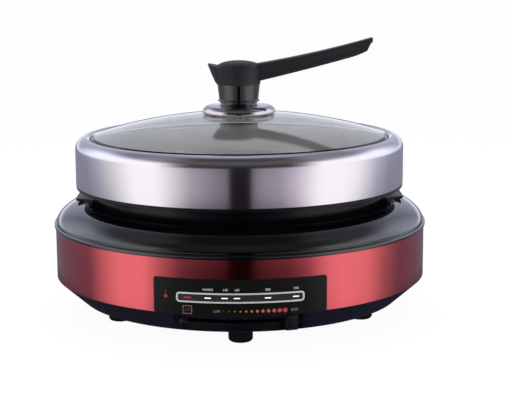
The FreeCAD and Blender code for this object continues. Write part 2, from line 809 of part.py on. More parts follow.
def make_brackets():
    """Three folded brackets that carry the element and are held by the tie screws."""
    body = new_body("element_brackets")
    fold = sketch_on(body, "bracket_side")
    foot_near = tie_circle - s.tie_radius
    post = s.coil_radius - s.coil_top / 2
    sheet_up = dish_top + s.plate_sheet
    outline(fold, [
        (foot_near, dish_top),
        (post + s.plate_sheet, dish_top),
        (post + s.plate_sheet, coil_lower - s.plate_sheet),
        (s.coil_radius + s.coil_top / 2, coil_lower - s.plate_sheet),
        (s.coil_radius + s.coil_top / 2, coil_lower),
        (post, coil_lower),
        (post, sheet_up),
        (foot_near, sheet_up),
    ])
    strip = pad(body, "strip", fold, s.lever_width, both_ways=True)
    doc.recompute()
    hole = sketch_on(body, "hole_sketch", "XY_Plane", dish_top)
    circle(hole, "hole", tie_circle, 0.0, s.tie_bore)
    drilled = pocket(body, "hole_cut", hole, s.plate_sheet, back=True)
    doc.recompute()
    pattern = around(body, "bracket_ring", strip, tie_count)
    pattern.Originals = [strip, drilled]
    return body


# Thermostat, sensor and lever


def make_thermostat():
    """Thermostat under the dish, with the sensor's guide above and the spindle's bush below."""
    body = new_body("thermostat_body")
    block = sketch_on(body, "case", "XY_Plane", s.dish_height)
    rectangle(block, -s.stat_width / 2, -s.stat_depth / 2, s.stat_width / 2, s.stat_depth / 2)
    pad(body, "case_block", block, s.stat_height, back=True)
    doc.recompute()
    boss = sketch_on(body, "boss", "XY_Plane", s.dish_height)
    circle(boss, "boss", 0.0, 0.0, s.boss_radius)
    pad(body, "guide_boss", boss, s.dish_sheet + s.boss_height)
    doc.recompute()
    guide = sketch_on(body, "guide", "XY_Plane", dish_top + s.boss_height)
    circle(guide, "guide", 0.0, 0.0, s.stem_radius + s.running_gap)
    pocket(body, "guide_bore", guide, s.stem_grip + s.sensor_travel + s.seat_gap * 3)
    doc.recompute()
    under = sketch_on(body, "bush", "XY_Plane", s.dish_height - s.stat_height)
    circle(under, "bush", 0.0, 0.0, s.spindle_radius + s.running_gap)
    last = pocket(body, "spindle_bore", under, s.stat_height / 4, back=True)
    body.Tip = last
    return body


cap_top = s.pan_level - s.seat_gap
spring_seat = dish_top + s.boss_height


def make_sensor():
    """Spring-loaded cap that feels the pan, with a stem that slides in the guide."""
    body = new_body("sensor_cap")
    section = sketch_on(body, "cap_section")
    inside = s.sensor_radius - s.sensor_skirt
    stem_end = spring_seat - s.stem_grip
    outline(section, [
        (0.0, stem_end),
        (s.stem_radius, stem_end),
        (s.stem_radius, cap_top - s.sensor_skirt),
        (inside, cap_top - s.sensor_skirt),
        (inside, cap_top - s.sensor_depth),
        (s.sensor_radius, cap_top - s.sensor_depth),
        (s.sensor_radius, cap_top),
        (0.0, cap_top),
    ])
    revolve(body, "cap", section)
    return body


def make_sensor_spring():
    """Envelope of the coil spring that pushes the sensor up."""
    body = new_body("sensor_spring")
    section = sketch_on(body, "spring_section")
    near = s.stem_radius + s.spring_wall
    rectangle(section, near, spring_seat, near + s.spring_wall, cap_top - s.sensor_skirt)
    revolve(body, "spring", section)
    return body


def make_spindle():
    """Spindle of the thermostat, which the lever turns."""
    body = new_body("thermostat_spindle")
    section = sketch_on(body, "spindle_section")
    bush_level = s.dish_height - s.stat_height
    flat = bush_level + s.stat_height / 4 - s.seat_gap
    hub_top = s.lever_level + s.lever_sheet
    outline(section, [
        (0.0, s.spindle_end),
        (stub_radius, s.spindle_end),
        (stub_radius, hub_top),
        (s.spindle_radius, hub_top),
        (s.spindle_radius, flat),
        (0.0, flat),
    ])
    revolve(body, "spindle", section)
    return body


def make_lever_arm():
    """Sheet lever from the spindle out through the slot in the recess."""
    body = new_body("lever_arm")
    hub = sketch_on(body, "hub", "XY_Plane", s.lever_level)
    circle(hub, "hub", 0.0, 0.0, s.hub_radius)
    pad(body, "hub_disc", hub, s.lever_sheet)
    doc.recompute()
    blade = sketch_on(body, "blade", "XY_Plane", s.lever_level)
    tongue = recess_radius + s.grip_depth / 2
    rectangle(blade, 0.0, -s.lever_width / 2, tongue, s.lever_width / 2)
    pad(body, "blade_strip", blade, s.lever_sheet)
    doc.recompute()
    bore = sketch_on(body, "bore", "XY_Plane", s.lever_level)
    circle(bore, "bore", 0.0, 0.0, stub_radius + s.running_gap)
    last = pocket(body, "spindle_hole", bore, s.lever_sheet, back=True)
    body.Tip = last
    turn(body, front + lever_rest)
    return body


def make_spindle_nut():
    """Nut that clamps the lever on the spindle."""
    body = new_body("spindle_nut")
    ring = sketch_on(body, "ring", "XY_Plane", s.lever_level)
    circle(ring, "outside", 0.0, 0.0, stub_radius + s.nut_wall)
    circle(ring, "inside", 0.0, 0.0, stub_radius + s.running_gap)
    pad(body, "nut", ring, s.lever_sheet, back=True)
    return body


def make_lever_grip():
    """Grip at the lever's outer end, which stands in the recess."""
    body = new_body("lever_grip")
    near = recess_radius + s.slot_room
    plan = sketch_on(body, "plan", "XY_Plane", s.grip_base)
    half = s.grip_width / 2
    far = near + s.grip_depth
    outline(plan, [
        (near, -half),
        (far - s.grip_edge, -half),
        (far, s.grip_edge - half, s.grip_edge),
        (far, half - s.grip_edge),
        (far - s.grip_edge, half, s.grip_edge),
        (near, half),
    ])
    pad(body, "block", plan, s.grip_height)
    doc.recompute()
    mouth = sketch_on(body, "mouth", "XY_Plane", s.lever_level)
    tongue = recess_radius + s.grip_depth / 2
    rectangle(mouth, recess_radius, -s.lever_width / 2, tongue, s.lever_width / 2)
    last = pocket(body, "tongue_slot", mouth, s.lever_sheet, back=True)
    body.Tip = last
    turn(body, front + lever_rest)
    return body


def make_harness():
    """Sleeved wires from the inlet down behind the dish and in to the thermostat."""
    body = new_body("wire_harness")
    away = s.band_radius - s.inlet_depth + s.harness_radius * 2
    level = s.dish_height - s.harness_radius * 2 + s.fuse_radius / 4
    top = s.inlet_level - s.inlet_tall / 2
    bend = s.harness_radius * 2 + s.seat_gap * 2
    path = sketch_on(body, "route", "YZ_Plane")
    outline(path, [
        (away, top),
        (away, level + bend),
        (away - bend, level),
        (s.stat_depth / 2, level),
    ], closed=False)
    end = sketch_on(body, "sleeve", "XY_Plane", top)
    circle(end, "sleeve", 0.0, away, s.harness_radius)
    tube = body.newObject("PartDesign::AdditivePipe", "sleeved_wires")
    tube.Profile = end
    tube.Spine = (path, ["Edge1", "Edge2", "Edge3"])
    tube.Transition = "Right corner"
    return body


def make_leads():
    """Two leads from the thermostat to the element's cold ends."""
    body = new_body("element_leads")
    across = s.coil_radius * sine_of(s.coil_gap)
    along = s.coil_radius * cosine_of(s.coil_gap)
    level = s.dish_height - s.coil_height + s.lead_radius + s.seat_gap
    for side, name in ((-1, "left"), (1, "right")):
        start = sketch_on(body, f"lead_{name}", "XZ_Plane", -(s.stat_depth / 2))
        circle(start, "lead", across * side, level, s.lead_radius)
        length = along - s.leg_radius - s.stat_depth / 2 - s.running_gap
        last = pad(body, f"lead_rod_{name}", start, length, back=True)
        doc.recompute()
    body.Tip = last
    return body


def make_fuse():
    """Thermal fuse that sits round the left lead."""
    body = new_body("thermal_fuse")
    across = -(s.coil_radius * sine_of(s.coil_gap))
    level = s.dish_height - s.coil_height + s.lead_radius + s.seat_gap
    start = sketch_on(body, "fuse_end", "XZ_Plane", -(s.coil_radius / 2))
    circle(start, "outside", across, level, s.fuse_radius)
    circle(start, "inside", across, level, s.lead_radius + s.running_gap)
    pad(body, "fuse_tube", start, s.fuse_length, back=True)
    return body


# Control panel


def curved_plate(body, name, inner, outer, low, high, half_angle, cut=False):
    """Plate or opening that follows the band, centred on +X."""
    section = sketch_on(body, f"{name}_section")
    rectangle(section, inner, low, outer, high)
    feature = revolve(body, name, section, angle=half_angle * 2, cut=cut)
    doc.recompute()
    return feature


def round_corners(body, name, base, radius, half_angle):
    """Round the four radial edges that lie at a curved plate's ends."""
    chosen = []
    for index, edge in enumerate(base.Shape.Edges, start=1):
        middle = edge.CenterOfMass
        angle = math.degrees(math.atan2(abs(middle.y), middle.x))
        level = abs(edge.Vertexes[0].Z - edge.Vertexes[-1].Z) < 0.001
        if level and abs(angle - as_size(half_angle).value) < 0.001:
            chosen.append(f"Edge{index}")
    fillet = body.newObject("PartDesign::Fillet", name)
    fillet.Base = (base, chosen)
    fillet.setExpression("Radius", as_size(radius).text)
    doc.recompute()
    return fillet


panel_face = s.band_radius + s.panel_proud
trim_seat = panel_face + s.running_gap
window_face = panel_face + s.rim_proud / 2
window_low = s.band_bottom + s.window_base
window_high = window_low + s.window_height


def make_panel():
    """Gloss panel on the front of the band."""
    body = new_body("control_panel")
    top = s.band_bottom + s.panel_height
    inner = s.band_radius + s.running_gap
    plate = curved_plate(body, "plate", inner, panel_face, s.band_bottom, top, s.panel_angle)
    body.Tip = round_corners(body, "corners", plate, s.panel_corner, s.panel_angle)
    turn(body, front)
    return body


def make_window_rim():
    """Bright rounded rim of the scale window."""
    body = new_body("window_rim")
    outside = panel_face + s.rim_proud
    plate = curved_plate(body, "plate", trim_seat, outside, window_low, window_high, s.window_angle)
    round_corners(body, "corners", plate, s.window_corner, s.window_angle)
    inner_angle = s.window_angle - s.window_rim / s.band_radius * per_radian
    low, high = window_low + s.window_rim, window_high - s.window_rim
    near, far = panel_face - s.rim_proud, outside + s.rim_proud
    hole = curved_plate(body, "hole", near, far, low, high, inner_angle, cut=True)
    inner_radius = s.window_corner - s.window_rim
    body.Tip = round_corners(body, "inner_corners", hole, inner_radius, inner_angle)
    turn(body, front)
    return body


def make_scale_window():
    """Smoked window inside the bright rim."""
    body = new_body("scale_window")
    inner_angle = s.window_angle - (s.window_rim + s.running_gap) / s.band_radius * per_radian
    low, high = window_low + s.window_rim + s.running_gap, window_high - s.window_rim - s.running_gap
    plate = curved_plate(body, "plate", trim_seat, window_face, low, high, inner_angle)
    radius = s.window_corner - s.window_rim
    body.Tip = round_corners(body, "corners", plate, radius, inner_angle)
    turn(body, front)
    return body


def make_pilot_lamp():
    """Lens of the pilot lamp at the scale's cold end."""
    body = new_body("pilot_lamp")
    inner = window_face + s.running_gap
    middle = window_low + s.window_height / 2
    half = s.lamp_height / 2
    angle = s.lamp_width / s.band_radius * per_radian / 2
    lens = curved_plate(body, "lens", inner, panel_face + s.rim_proud, middle - half, middle + half, angle)
    body.Tip = lens
    turn(body, front - s.lamp_angle)
    return body


# Power inlet


def make_inlet():
    """Appliance inlet clamped behind the band's cut-out at the rear."""
    body = new_body("power_inlet")
    inside = s.band_radius - s.band_wall
    low, high = s.inlet_level - s.inlet_height / 2, s.inlet_level + s.inlet_height / 2
    half_angle = s.inlet_width / s.band_radius * per_radian / 2
    curved_plate(body, "flange", inside - s.inlet_flange, inside, low, high, half_angle)
    box = sketch_on(body, "body_end", "YZ_Plane", s.band_radius - s.inlet_depth)
    wide, tall = s.inlet_body / 2, s.inlet_tall / 2
    rectangle(box, -wide, s.inlet_level - tall, wide, s.inlet_level + tall)
    pad(body, "body_block", box, s.inlet_depth + s.bead_proud / 2)
    doc.recompute()
    mouth = sketch_on(body, "mouth", "YZ_Plane", bead_radius)
    wide, tall = wide - s.inlet_wall, tall - s.inlet_wall
    nip = s.inlet_wall * 2
    outline(mouth, [
        (wide, s.inlet_level - tall),
        (wide, s.inlet_level + tall - nip),
        (wide - nip, s.inlet_level + tall),
        (nip - wide, s.inlet_level + tall),
        (-wide, s.inlet_level + tall - nip),
        (-wide, s.inlet_level - tall),
    ])
    pocket(body, "socket", mouth, s.pin_length + s.socket_room)
    doc.recompute()
    for offset, lift, name in pin_places():
        slot = sketch_on(body, f"pin_slot_{name}", "YZ_Plane", s.band_radius - s.inlet_depth)
        pin_outline(slot, offset, lift)
        last = pocket(body, f"pin_way_{name}", slot, s.inlet_depth / 2, back=True)
        doc.recompute()
    for side, name in ((-1, "left"), (1, "right")):
        hole = sketch_on(body, f"hole_{name}", "YZ_Plane", s.band_radius)
        circle(hole, "hole", s.inlet_hole_pitch / 2 * side, s.inlet_level, s.screw_radius + s.running_gap)
        last = pocket(body, f"drill_{name}", hole, s.inlet_flange * 3)
        doc.recompute()
    body.Tip = last
    turn(body, -front)
    return body


def pin_places():
    """Sideways place, lift and name of each pin: two level and the middle one lower."""
    return (
        (-s.pin_pitch, s.pin_lift, "live"),
        (s.pin_pitch, s.pin_lift, "neutral"),
        (as_size(0), -s.pin_lift, "earth"),
    )


def pin_outline(sketch, offset, lift):
    """Section of one pin."""
    wide, tall = s.pin_width / 2, s.pin_height / 2
    middle = s.inlet_level + lift
    rectangle(sketch, offset - wide, middle - tall, offset + wide, middle + tall)


def make_pins():
    """Three flat pins of the inlet."""
    body = new_body("inlet_pins")
    start = s.band_radius - s.inlet_depth - s.inlet_wall
    for offset, lift, name in pin_places():
        end = sketch_on(body, f"end_{name}", "YZ_Plane", start)
        pin_outline(end, offset, lift)
        last = pad(body, f"pin_{name}", end, s.inlet_depth - s.inlet_wall)
        doc.recompute()
    body.Tip = last
    turn(body, -front)
    return body


def make_inlet_screws():
    """Two screws that clamp the inlet's flange to the band."""
    body = new_body("inlet_screws")
    half = s.inlet_hole_pitch / 2
    near = half - s.head_radius
    seat = root_of(s.band_radius * s.band_radius - near * near) + s.running_gap
    for side, name in ((-1, "left"), (1, "right")):
        head = sketch_on(body, f"head_{name}", "YZ_Plane", seat)
        circle(head, "head", half * side, s.inlet_level, s.head_radius)
        pad(body, f"head_disc_{name}", head, s.head_height / 2)
        doc.recompute()
        shank = sketch_on(body, f"shank_{name}", "YZ_Plane", seat)
        circle(shank, "shank", half * side, s.inlet_level, s.screw_radius)
        last = pad(body, f"shank_rod_{name}", shank, s.inlet_flange * 3, back=True)
        doc.recompute()
    body.Tip = last
    turn(body, -front)
    return body


# Pan

rim_top = s.rim_level + s.rim_step
rim_under = s.rim_level - s.rim_height
pan_slope = tangent_of(s.pan_draft)
pan_wall_across = s.pan_wall / cosine_of(s.pan_draft)


def pan_outside(level):
    """Outside radius of the pan's wall at a height."""
    return pan_mouth + pan_wall_across - (rim_top - level) * pan_slope


def make_pan():
    """Deep pan with sloping walls and a rim that carries the lid."""
    body = new_body("pan")
    section = sketch_on(body, "pan_section")
    floor_top = s.pan_level + s.pan_floor
    inner_corner = pan_mouth - (rim_top - floor_top) * pan_slope
    tangent = s.pan_corner * tangent_of((right_angle - s.pan_draft) / 2)
    floor_edge = inner_corner - tangent
    lean = (right_angle + s.pan_draft) / 2
    bevel_top = s.pan_level + s.pan_chamfer
    step = skirt_radius - s.skirt_sheet - s.seat_gap
    outline(section, [
        (0.0, s.pan_level),
        (pan_outside(s.pan_level) - s.pan_chamfer, s.pan_level),
        (pan_outside(bevel_top), bevel_top),
        (pan_outside(rim_under), rim_under),
        (rim_radius, rim_under),
        (rim_radius, s.rim_level),
        (step, s.rim_level),
        (step, rim_top),
        (pan_mouth, rim_top),
        (inner_corner + tangent * sine_of(s.pan_draft), floor_top + tangent * cosine_of(s.pan_draft)),
        (floor_edge + s.pan_corner * cosine_of(lean), floor_top + s.pan_corner * (1 - sine_of(lean))),
        (floor_edge, floor_top),
        (0.0, floor_top),
    ])
    revolve(body, "pan", section)
    doc.recompute()
    for side, name in ((-1, "left"), (1, "right")):
        for turned, place in ((-1, "front"), (1, "rear")):
            hole = sketch_on(body, f"rivet_{name}_{place}", "YZ_Plane", as_size(0))
            offset = pan_mouth * sine_of(s.rivet_angle) * turned
            circle(hole, "hole", offset, ear_under - s.ear_root / 2, s.rivet_radius)
            last = pocket(body, f"rivet_hole_{name}_{place}", hole, rim_radius, back=(side > 0))
            doc.recompute()
    body.Tip = last
    return body


ear_under = crest_level + s.seat_gap
ear_top = ear_under + s.ear_sheet


def make_ear(label, angle):
    """Side ear: a flange riveted to the pan and a flat grip that rests on the crown."""
    body = new_body(label)
    section = sketch_on(body, "ear_section")
    foot = ear_under - s.ear_root
    gap = s.running_gap
    outline(section, [
        (pan_outside(foot) + gap, foot),
        (pan_outside(foot) + gap + s.ear_flange, foot),
        (pan_outside(ear_under) + gap + s.ear_flange, ear_under),
        (ear_reach + s.ear_sheet * 2, ear_under),
        (ear_reach + s.ear_sheet * 2, ear_top),
        (pan_outside(ear_top) + gap, ear_top),
    ])
    revolve(body, "ear", section, angle=s.ear_angle * 2)
    doc.recompute()
    # The outer edge is straight and bevelled below
    edge = sketch_on(body, "edge_section")
    outline(edge, [
        (ear_reach - s.ear_sheet, ear_under - s.ear_sheet),
        (ear_reach + s.ear_sheet * 4, ear_under - s.ear_sheet),
        (ear_reach + s.ear_sheet * 4, ear_top + s.ear_sheet),
        (ear_reach, ear_top + s.ear_sheet),
        (ear_reach, ear_top),
    ])
    pocket(body, "edge", edge, ear_reach, both_ways=True)
    doc.recompute()
    for turned, place in ((-1, "front"), (1, "rear")):
        hole = sketch_on(body, f"rivet_{place}", "YZ_Plane", as_size(0))
        offset = pan_mouth * sine_of(s.rivet_angle) * turned
        circle(hole, "hole", offset, ear_under - s.ear_root / 2, s.rivet_radius)
        last = pocket(body, f"rivet_hole_{place}", hole, rim_radius, back=True)
        doc.recompute()
    body.Tip = last
    turn(body, angle)
    return body


def make_rivets():
    """Four rivets that hold the ears to the pan."""
    body = new_body("ear_rivets")
    level = ear_under - s.ear_root / 2
    offset = pan_mouth * sine_of(s.rivet_angle)
    outer = pan_outside(ear_under) + s.ear_flange
    reach = root_of(outer * outer - offset * offset) + s.ear_flange
    inner = pan_mouth * cosine_of(s.rivet_angle) - (rim_top - level) * pan_slope
    for side, name in ((-1, "left"), (1, "right")):
        for turned, place in ((-1, "front"), (1, "rear")):
            end = sketch_on(body, f"end_{name}_{place}", "YZ_Plane", inner * side)
            circle(end, "rivet", offset * turned, level, s.rivet_radius - s.running_gap)
            last = pad(body, f"rivet_{name}_{place}", end, reach - inner, back=(side < 0))
            doc.recompute()
    body.Tip = last
    return body


# Lid

lid_top = s.rim_level + s.skirt_height
seat_radius = glass_radius + s.seat_gap
glass_edge_level = s.rim_level + s.glass_edge
glass_under = glass_edge_level - s.glass_rim
seat_level = glass_under - s.gasket_height
dome_radius = glass_radius - s.glass_bevel
dome_foot = glass_edge_level + s.glass_bevel_rise
dome_apex = dome_foot + s.glass_rise
dome_ball = (dome_radius * dome_radius + s.glass_rise * s.glass_rise) / (s.glass_rise * 2)
dome_centre = dome_apex - dome_ball


def dome_corners(ball, start, end, steps):
    """Corners of a dome's section between two distances from the axis."""
    places = [start + (end - start) * (step / steps) for step in range(steps + 1)]
    return [(across, dome_level(ball, across)) for across in places]


def dome_level(ball, across):
    """Height of a sphere about the dome's centre at a distance from the axis."""
    return dome_centre + root_of(ball * ball - across * across)


def make_skirt():
    """Stainless skirt of the lid with a rounded shoulder and a ledge for the glass."""
    body = new_body("lid_skirt")
    section = sketch_on(body, "skirt_section")
    inside = skirt_radius - s.skirt_sheet
    shoulder_foot = lid_top - s.skirt_shoulder
    crest = skirt_radius - s.skirt_shoulder
    inner_bend = (s.skirt_shoulder - s.skirt_sheet) * round(math.sqrt(0.5), 6)
    fall = lid_top - s.glass_fall
    outline(section, [
        (inside, s.rim_level),
        (skirt_radius, s.rim_level),
        (skirt_radius, shoulder_foot),
        *shoulder(crest, shoulder_foot, s.skirt_shoulder, s.skirt_shoulder, 3),
        (seat_radius, fall),
        (seat_radius, seat_level),
        (seat_radius - s.glass_ledge, seat_level),
        (seat_radius - s.glass_ledge, seat_level - s.skirt_sheet),
        (seat_radius + s.skirt_sheet, seat_level - s.skirt_sheet),
        (seat_radius + s.skirt_sheet, fall - s.skirt_sheet),
        (crest, lid_top - s.skirt_sheet),
        (crest + inner_bend, shoulder_foot + inner_bend),
        (inside, shoulder_foot),
    ])
    revolve(body, "skirt", section)
    return body


def make_glass():
    """Tempered glass dome with a bevelled edge, a bolt hole and a flat seat under its middle."""
    body = new_body("lid_glass")
    section = sketch_on(body, "glass_section")
    inner_ball = dome_ball - s.glass_wall
    edge_inside = glass_radius - s.glass_wall
    outline(section, [
        (glass_radius, glass_under),
        (glass_radius, glass_edge_level),
        *dome_corners(dome_ball, dome_radius, s.glass_hole, 4),
        (s.glass_hole, glass_inside),
        *dome_corners(inner_ball, s.washer_radius, edge_inside, 2),
    ])
    revolve(body, "glass", section)
    return body


def make_gasket():
    """Silicone gasket between the glass and its ledge."""
    body = new_body("lid_gasket")
    section = sketch_on(body, "gasket_section")
    rectangle(section, glass_radius - s.glass_wall, seat_level, glass_radius, glass_under)
    revolve(body, "gasket", section)
    return body


plate_base = dome_apex + s.seat_gap
plate_lip = plate_base - s.knob_drop
plate_crest = plate_lip + s.knob_lip + s.knob_edge
collar_base = plate_crest + s.neck_height
collar_top = collar_base + s.collar_height
bolt_bore = s.bolt_radius + s.running_gap


def make_knob_plate():
    """Chrome plate that spreads the knob's load over the glass."""
    body = new_body("knob_plate")
    section = sketch_on(body, "plate_section")
    lip_inside = s.knob_radius - s.knob_lip * 3 / 2
    outline(section, [
        (bolt_bore, plate_base),
        (lip_inside, plate_base),
        (lip_inside, plate_lip),
        (s.knob_radius - s.knob_lip / 2, plate_lip),
        (s.knob_radius, plate_lip + s.knob_lip),
        *shoulder(s.knob_radius - s.knob_edge, plate_lip + s.knob_lip, s.knob_edge, s.knob_edge, 2),
        (s.neck_radius, plate_crest),
        (s.neck_radius, collar_base),
        (bolt_bore, collar_base),
    ])
    revolve(body, "plate", section)
    return body


def make_collar():
    """Gloss collar between the plate and the handle."""
    body = new_body("knob_collar")
    section = sketch_on(body, "collar_section")
    outline(section, [
        (bolt_bore, collar_base),
        (s.collar_radius, collar_base),
        (s.collar_radius, collar_top),
        (bolt_bore, collar_top),
    ])
    revolve(body, "collar", section)
    return body


glass_inside = dome_level(dome_ball - s.glass_wall, s.washer_radius)
seal_base = glass_inside - s.washer_height
washer_base = seal_base - s.washer_height


def ring_pad(label, inside, outside, base, height):
    """Flat ring."""
    body = new_body(label)
    ring = sketch_on(body, "ring", "XY_Plane", base)
    circle(ring, "outside", 0.0, 0.0, outside)
    circle(ring, "inside", 0.0, 0.0, inside)
    pad(body, "ring_disc", ring, height)
    return body


def make_bolt():
    """Bolt that clamps the glass between the washer and the knob."""
    body = new_body("knob_bolt")
    section = sketch_on(body, "bolt_section")
    head = s.bolt_radius * 2 + s.seat_gap * 2
    outline(section, [
        (0.0, washer_base - s.bolt_radius),
        (head, washer_base - s.bolt_radius),
        (head, washer_base),
        (s.bolt_radius, washer_base),
        (s.bolt_radius, collar_base + s.bolt_grip),
        (0.0, collar_base + s.bolt_grip),
    ])
    revolve(body, "bolt", section)
    return body


head_rim_level = collar_top + s.head_tall
HEAD_SIDES = 28
ARM_STATIONS = 6


def egg(sketch, round_radius, reach):
    """Egg outline: a circle drawn out to a tip on the -X side."""
    corners = []
    for step in range(HEAD_SIDES):
        turned = math.radians(full_turn * step / HEAD_SIDES)
        share = ((1 - math.cos(turned)) / 2) ** 3
        radius = round_radius + (reach - round_radius) * round(share, 6)
        corners.append((radius * round(math.cos(turned), 6), radius * round(math.sin(turned), 6)))
    outline(sketch, corners)


def arm_section(sketch, centre, width, height, corner):
    """Rectangle with bevelled corners across the arm."""
    wide, tall = width / 2, height / 2
    low, high = centre - tall, centre + tall
    outline(sketch, [
        (wide - corner, low),
        (wide, low + corner),
        (wide, high - corner),
        (wide - corner, high),
        (corner - wide, high),
        (-wide, high - corner),
        (-wide, low + corner),
        (corner - wide, low),
    ])


def loft(body, name, sketches):
    """Solid through sections with straight sides from one to the next."""
    feature = body.newObject("PartDesign::AdditiveLoft", name)
    feature.Profile = sketches[0]
    feature.Sections = sketches[1:]
    feature.Ruled = True
    return feature


def make_handle():
    """Matt handle: a head drawn out to a lip, with a long arm on its other side."""
    body = new_body("lid_handle")
    tip_level = head_rim_level + s.lip_rise
    levels = ((collar_top, s.collar_radius + s.seat_gap, s.collar_radius + s.seat_gap * 2, "foot"),
              (head_rim_level, s.head_rim, s.lip_reach - s.lip_rise / 3, "rim"),
              (tip_level, s.head_rim + s.seat_gap, s.lip_reach, "tip"))
    sections = []
    for level, big, reach, name in levels:
        section = sketch_on(body, f"head_{name}", "XY_Plane", level)
        egg(section, big, reach)
        sections.append(section)
    loft(body, "head", sections)
    doc.recompute()

    top = sketch_on(body, "head_top")
    beyond = s.head_rim * 2
    outline(top, [
        (s.lip_wall - s.head_rim, head_rim_level),
        (beyond, head_rim_level),
        (beyond, tip_level + s.lip_rise),
        (-beyond, tip_level + s.lip_rise),
        (-beyond, tip_level),
        (s.lip_wall - s.lip_reach, tip_level),
    ])
    pocket(body, "head_trim", top, beyond * 2, both_ways=True)
    doc.recompute()

    arm = []
    start = s.arm_root
    for station in range(ARM_STATIONS + 1):
        share = station / ARM_STATIONS
        along = start + (s.arm_reach - start) * share
        left = (1 - share) * (1 - share)
        line = s.arm_tip_rise * share - s.arm_root_drop * (1 - share)
        centre = head_rim_level + line - s.arm_sag * (4 * share * (1 - share))
        width = s.arm_root_width + (s.arm_tip_width - s.arm_root_width) * share
        height = s.arm_tip_height + (s.arm_root_height - s.arm_tip_height) * left
        section = sketch_on(body, f"arm_{station}", "YZ_Plane", along)
        arm_section(section, centre, width, height, s.arm_corner)
        arm.append(section)
    loft(body, "arm", arm)
    doc.recompute()

    # The arm's end slants back towards its lower side
    slant = sketch_on(body, "arm_end")
    middle = head_rim_level + s.arm_tip_rise
    outline(slant, [
        (s.arm_reach - s.arm_slant, middle - s.arm_tip_height / 2),
        (s.arm_reach - s.arm_slant, middle - s.arm_tip_height),
        (s.arm_reach + s.arm_slant, middle - s.arm_tip_height),
        (s.arm_reach + s.arm_slant, middle + s.arm_tip_height),
        (s.arm_reach - s.arm_corner, middle + s.arm_tip_height / 2 + s.seat_gap),
        (s.arm_reach, middle + s.arm_tip_height / 2 - s.arm_corner),
    ])
    pocket(body, "arm_trim", slant, s.arm_root_width * 2, both_ways=True)
    doc.recompute()

    socket = sketch_on(body, "cap_socket", "XY_Plane", head_rim_level + s.head_tall)
    circle(socket, "socket", 0.0, 0.0, s.cap_radius + s.running_gap)
    pocket(body, "socket_cut", socket, s.head_tall + s.cap_depth)
    doc.recompute()
    bore = sketch_on(body, "bolt_hole", "XY_Plane", collar_top)
    circle(bore, "hole", 0.0, 0.0, bolt_bore)
    last = pocket(body, "bolt_bore", bore, s.bolt_grip - s.collar_height + s.washer_height, back=True)
    body.Tip = last
    return body


def make_cap():
    """Domed cap over the handle's head."""
    body = new_body("handle_cap")
    section = sketch_on(body, "cap_section")
    base = head_rim_level - s.cap_depth
    edge = head_rim_level + s.cap_edge
    ball = (s.cap_radius * s.cap_radius + s.cap_rise * s.cap_rise) / (s.cap_rise * 2)
    centre = edge + s.cap_rise - ball
    bend = s.cap_radius * 2 / 3
    outline(section, [
        (0.0, base),
        (s.cap_radius, base),
        (s.cap_radius, edge),
        (bend, centre + root_of(ball * ball - bend * bend)),
        (0.0, edge + s.cap_rise),
    ])
    revolve(body, "cap", section)
    return body


# Build every piece

make_base_shell()
make_red_band()
make_panel()
make_window_rim()
make_scale_window()
make_pilot_lamp()
make_upper_cover()
make_bottom_plate()
make_feet()
make_tie_screws()
make_tie_nuts()
make_tie_columns()
make_dish()
make_element()
make_bushes()
make_brackets()
make_thermostat()
make_leads()
make_fuse()
make_harness()
make_inlet()
make_pins()
make_inlet_screws()
make_sensor_spring()
make_sensor()
make_spindle()
make_spindle_nut()
make_lever_arm()
make_lever_grip()
make_pan()
make_ear("pan_ear_right", 0)
make_ear("pan_ear_left", full_turn / 2)
make_rivets()
make_skirt()
make_glass()
make_gasket()
make_knob_plate()
make_collar()
ring_pad("knob_seal", bolt_bore, s.washer_radius, seal_base, s.washer_height)
ring_pad("knob_washer", bolt_bore, s.washer_radius - s.seat_gap * 3, washer_base, s.washer_height)
make_bolt()
make_handle()
make_cap()

doc.recompute()

for item in doc.Objects:
    faults = [word for word in item.State if word in ("Invalid", "Error")]
    if faults:
        raise RuntimeError(f"{item.Label} has failed: {faults}")

os.makedirs("parts", exist_ok=True)
for node in nodes:
    shape = node.Shape
    if shape.isNull() or not shape.isValid() or not shape.Solids:
        raise RuntimeError(f"{node.Label} has no valid solid")
    shape.exportStep(f"parts/{node.Label}.step")
    print(f"{node.Label}: {len(shape.Solids)} solid, {shape.Volume / 1000:.1f} cm3")
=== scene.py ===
"""Looks of an electric hot pot with a stainless and glass lid, built round its CAD frame."""

import math

import bmesh
import bpy
from bpy.props import FloatProperty, FloatVectorProperty, IntProperty, PointerProperty
from mathutils import Matrix, Vector


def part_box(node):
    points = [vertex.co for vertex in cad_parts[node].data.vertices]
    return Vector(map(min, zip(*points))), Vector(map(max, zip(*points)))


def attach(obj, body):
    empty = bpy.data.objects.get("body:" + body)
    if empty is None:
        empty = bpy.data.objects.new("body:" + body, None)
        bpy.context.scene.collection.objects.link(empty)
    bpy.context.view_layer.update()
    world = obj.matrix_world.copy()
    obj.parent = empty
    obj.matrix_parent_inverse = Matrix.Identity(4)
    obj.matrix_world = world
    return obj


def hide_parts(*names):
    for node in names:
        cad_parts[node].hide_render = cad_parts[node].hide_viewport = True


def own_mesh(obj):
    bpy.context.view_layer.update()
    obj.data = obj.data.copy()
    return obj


bl_info = {
    "name": "Hot pot dresser",
    "version": (1, 0, 0),
    "blender": (4, 5, 0),
    "location": "3D View > Sidebar > Hot pot",
    "description": "Dresses a hot pot with smooth pieces, finishes, panel prints and a small studio",
    "category": "Object",
}

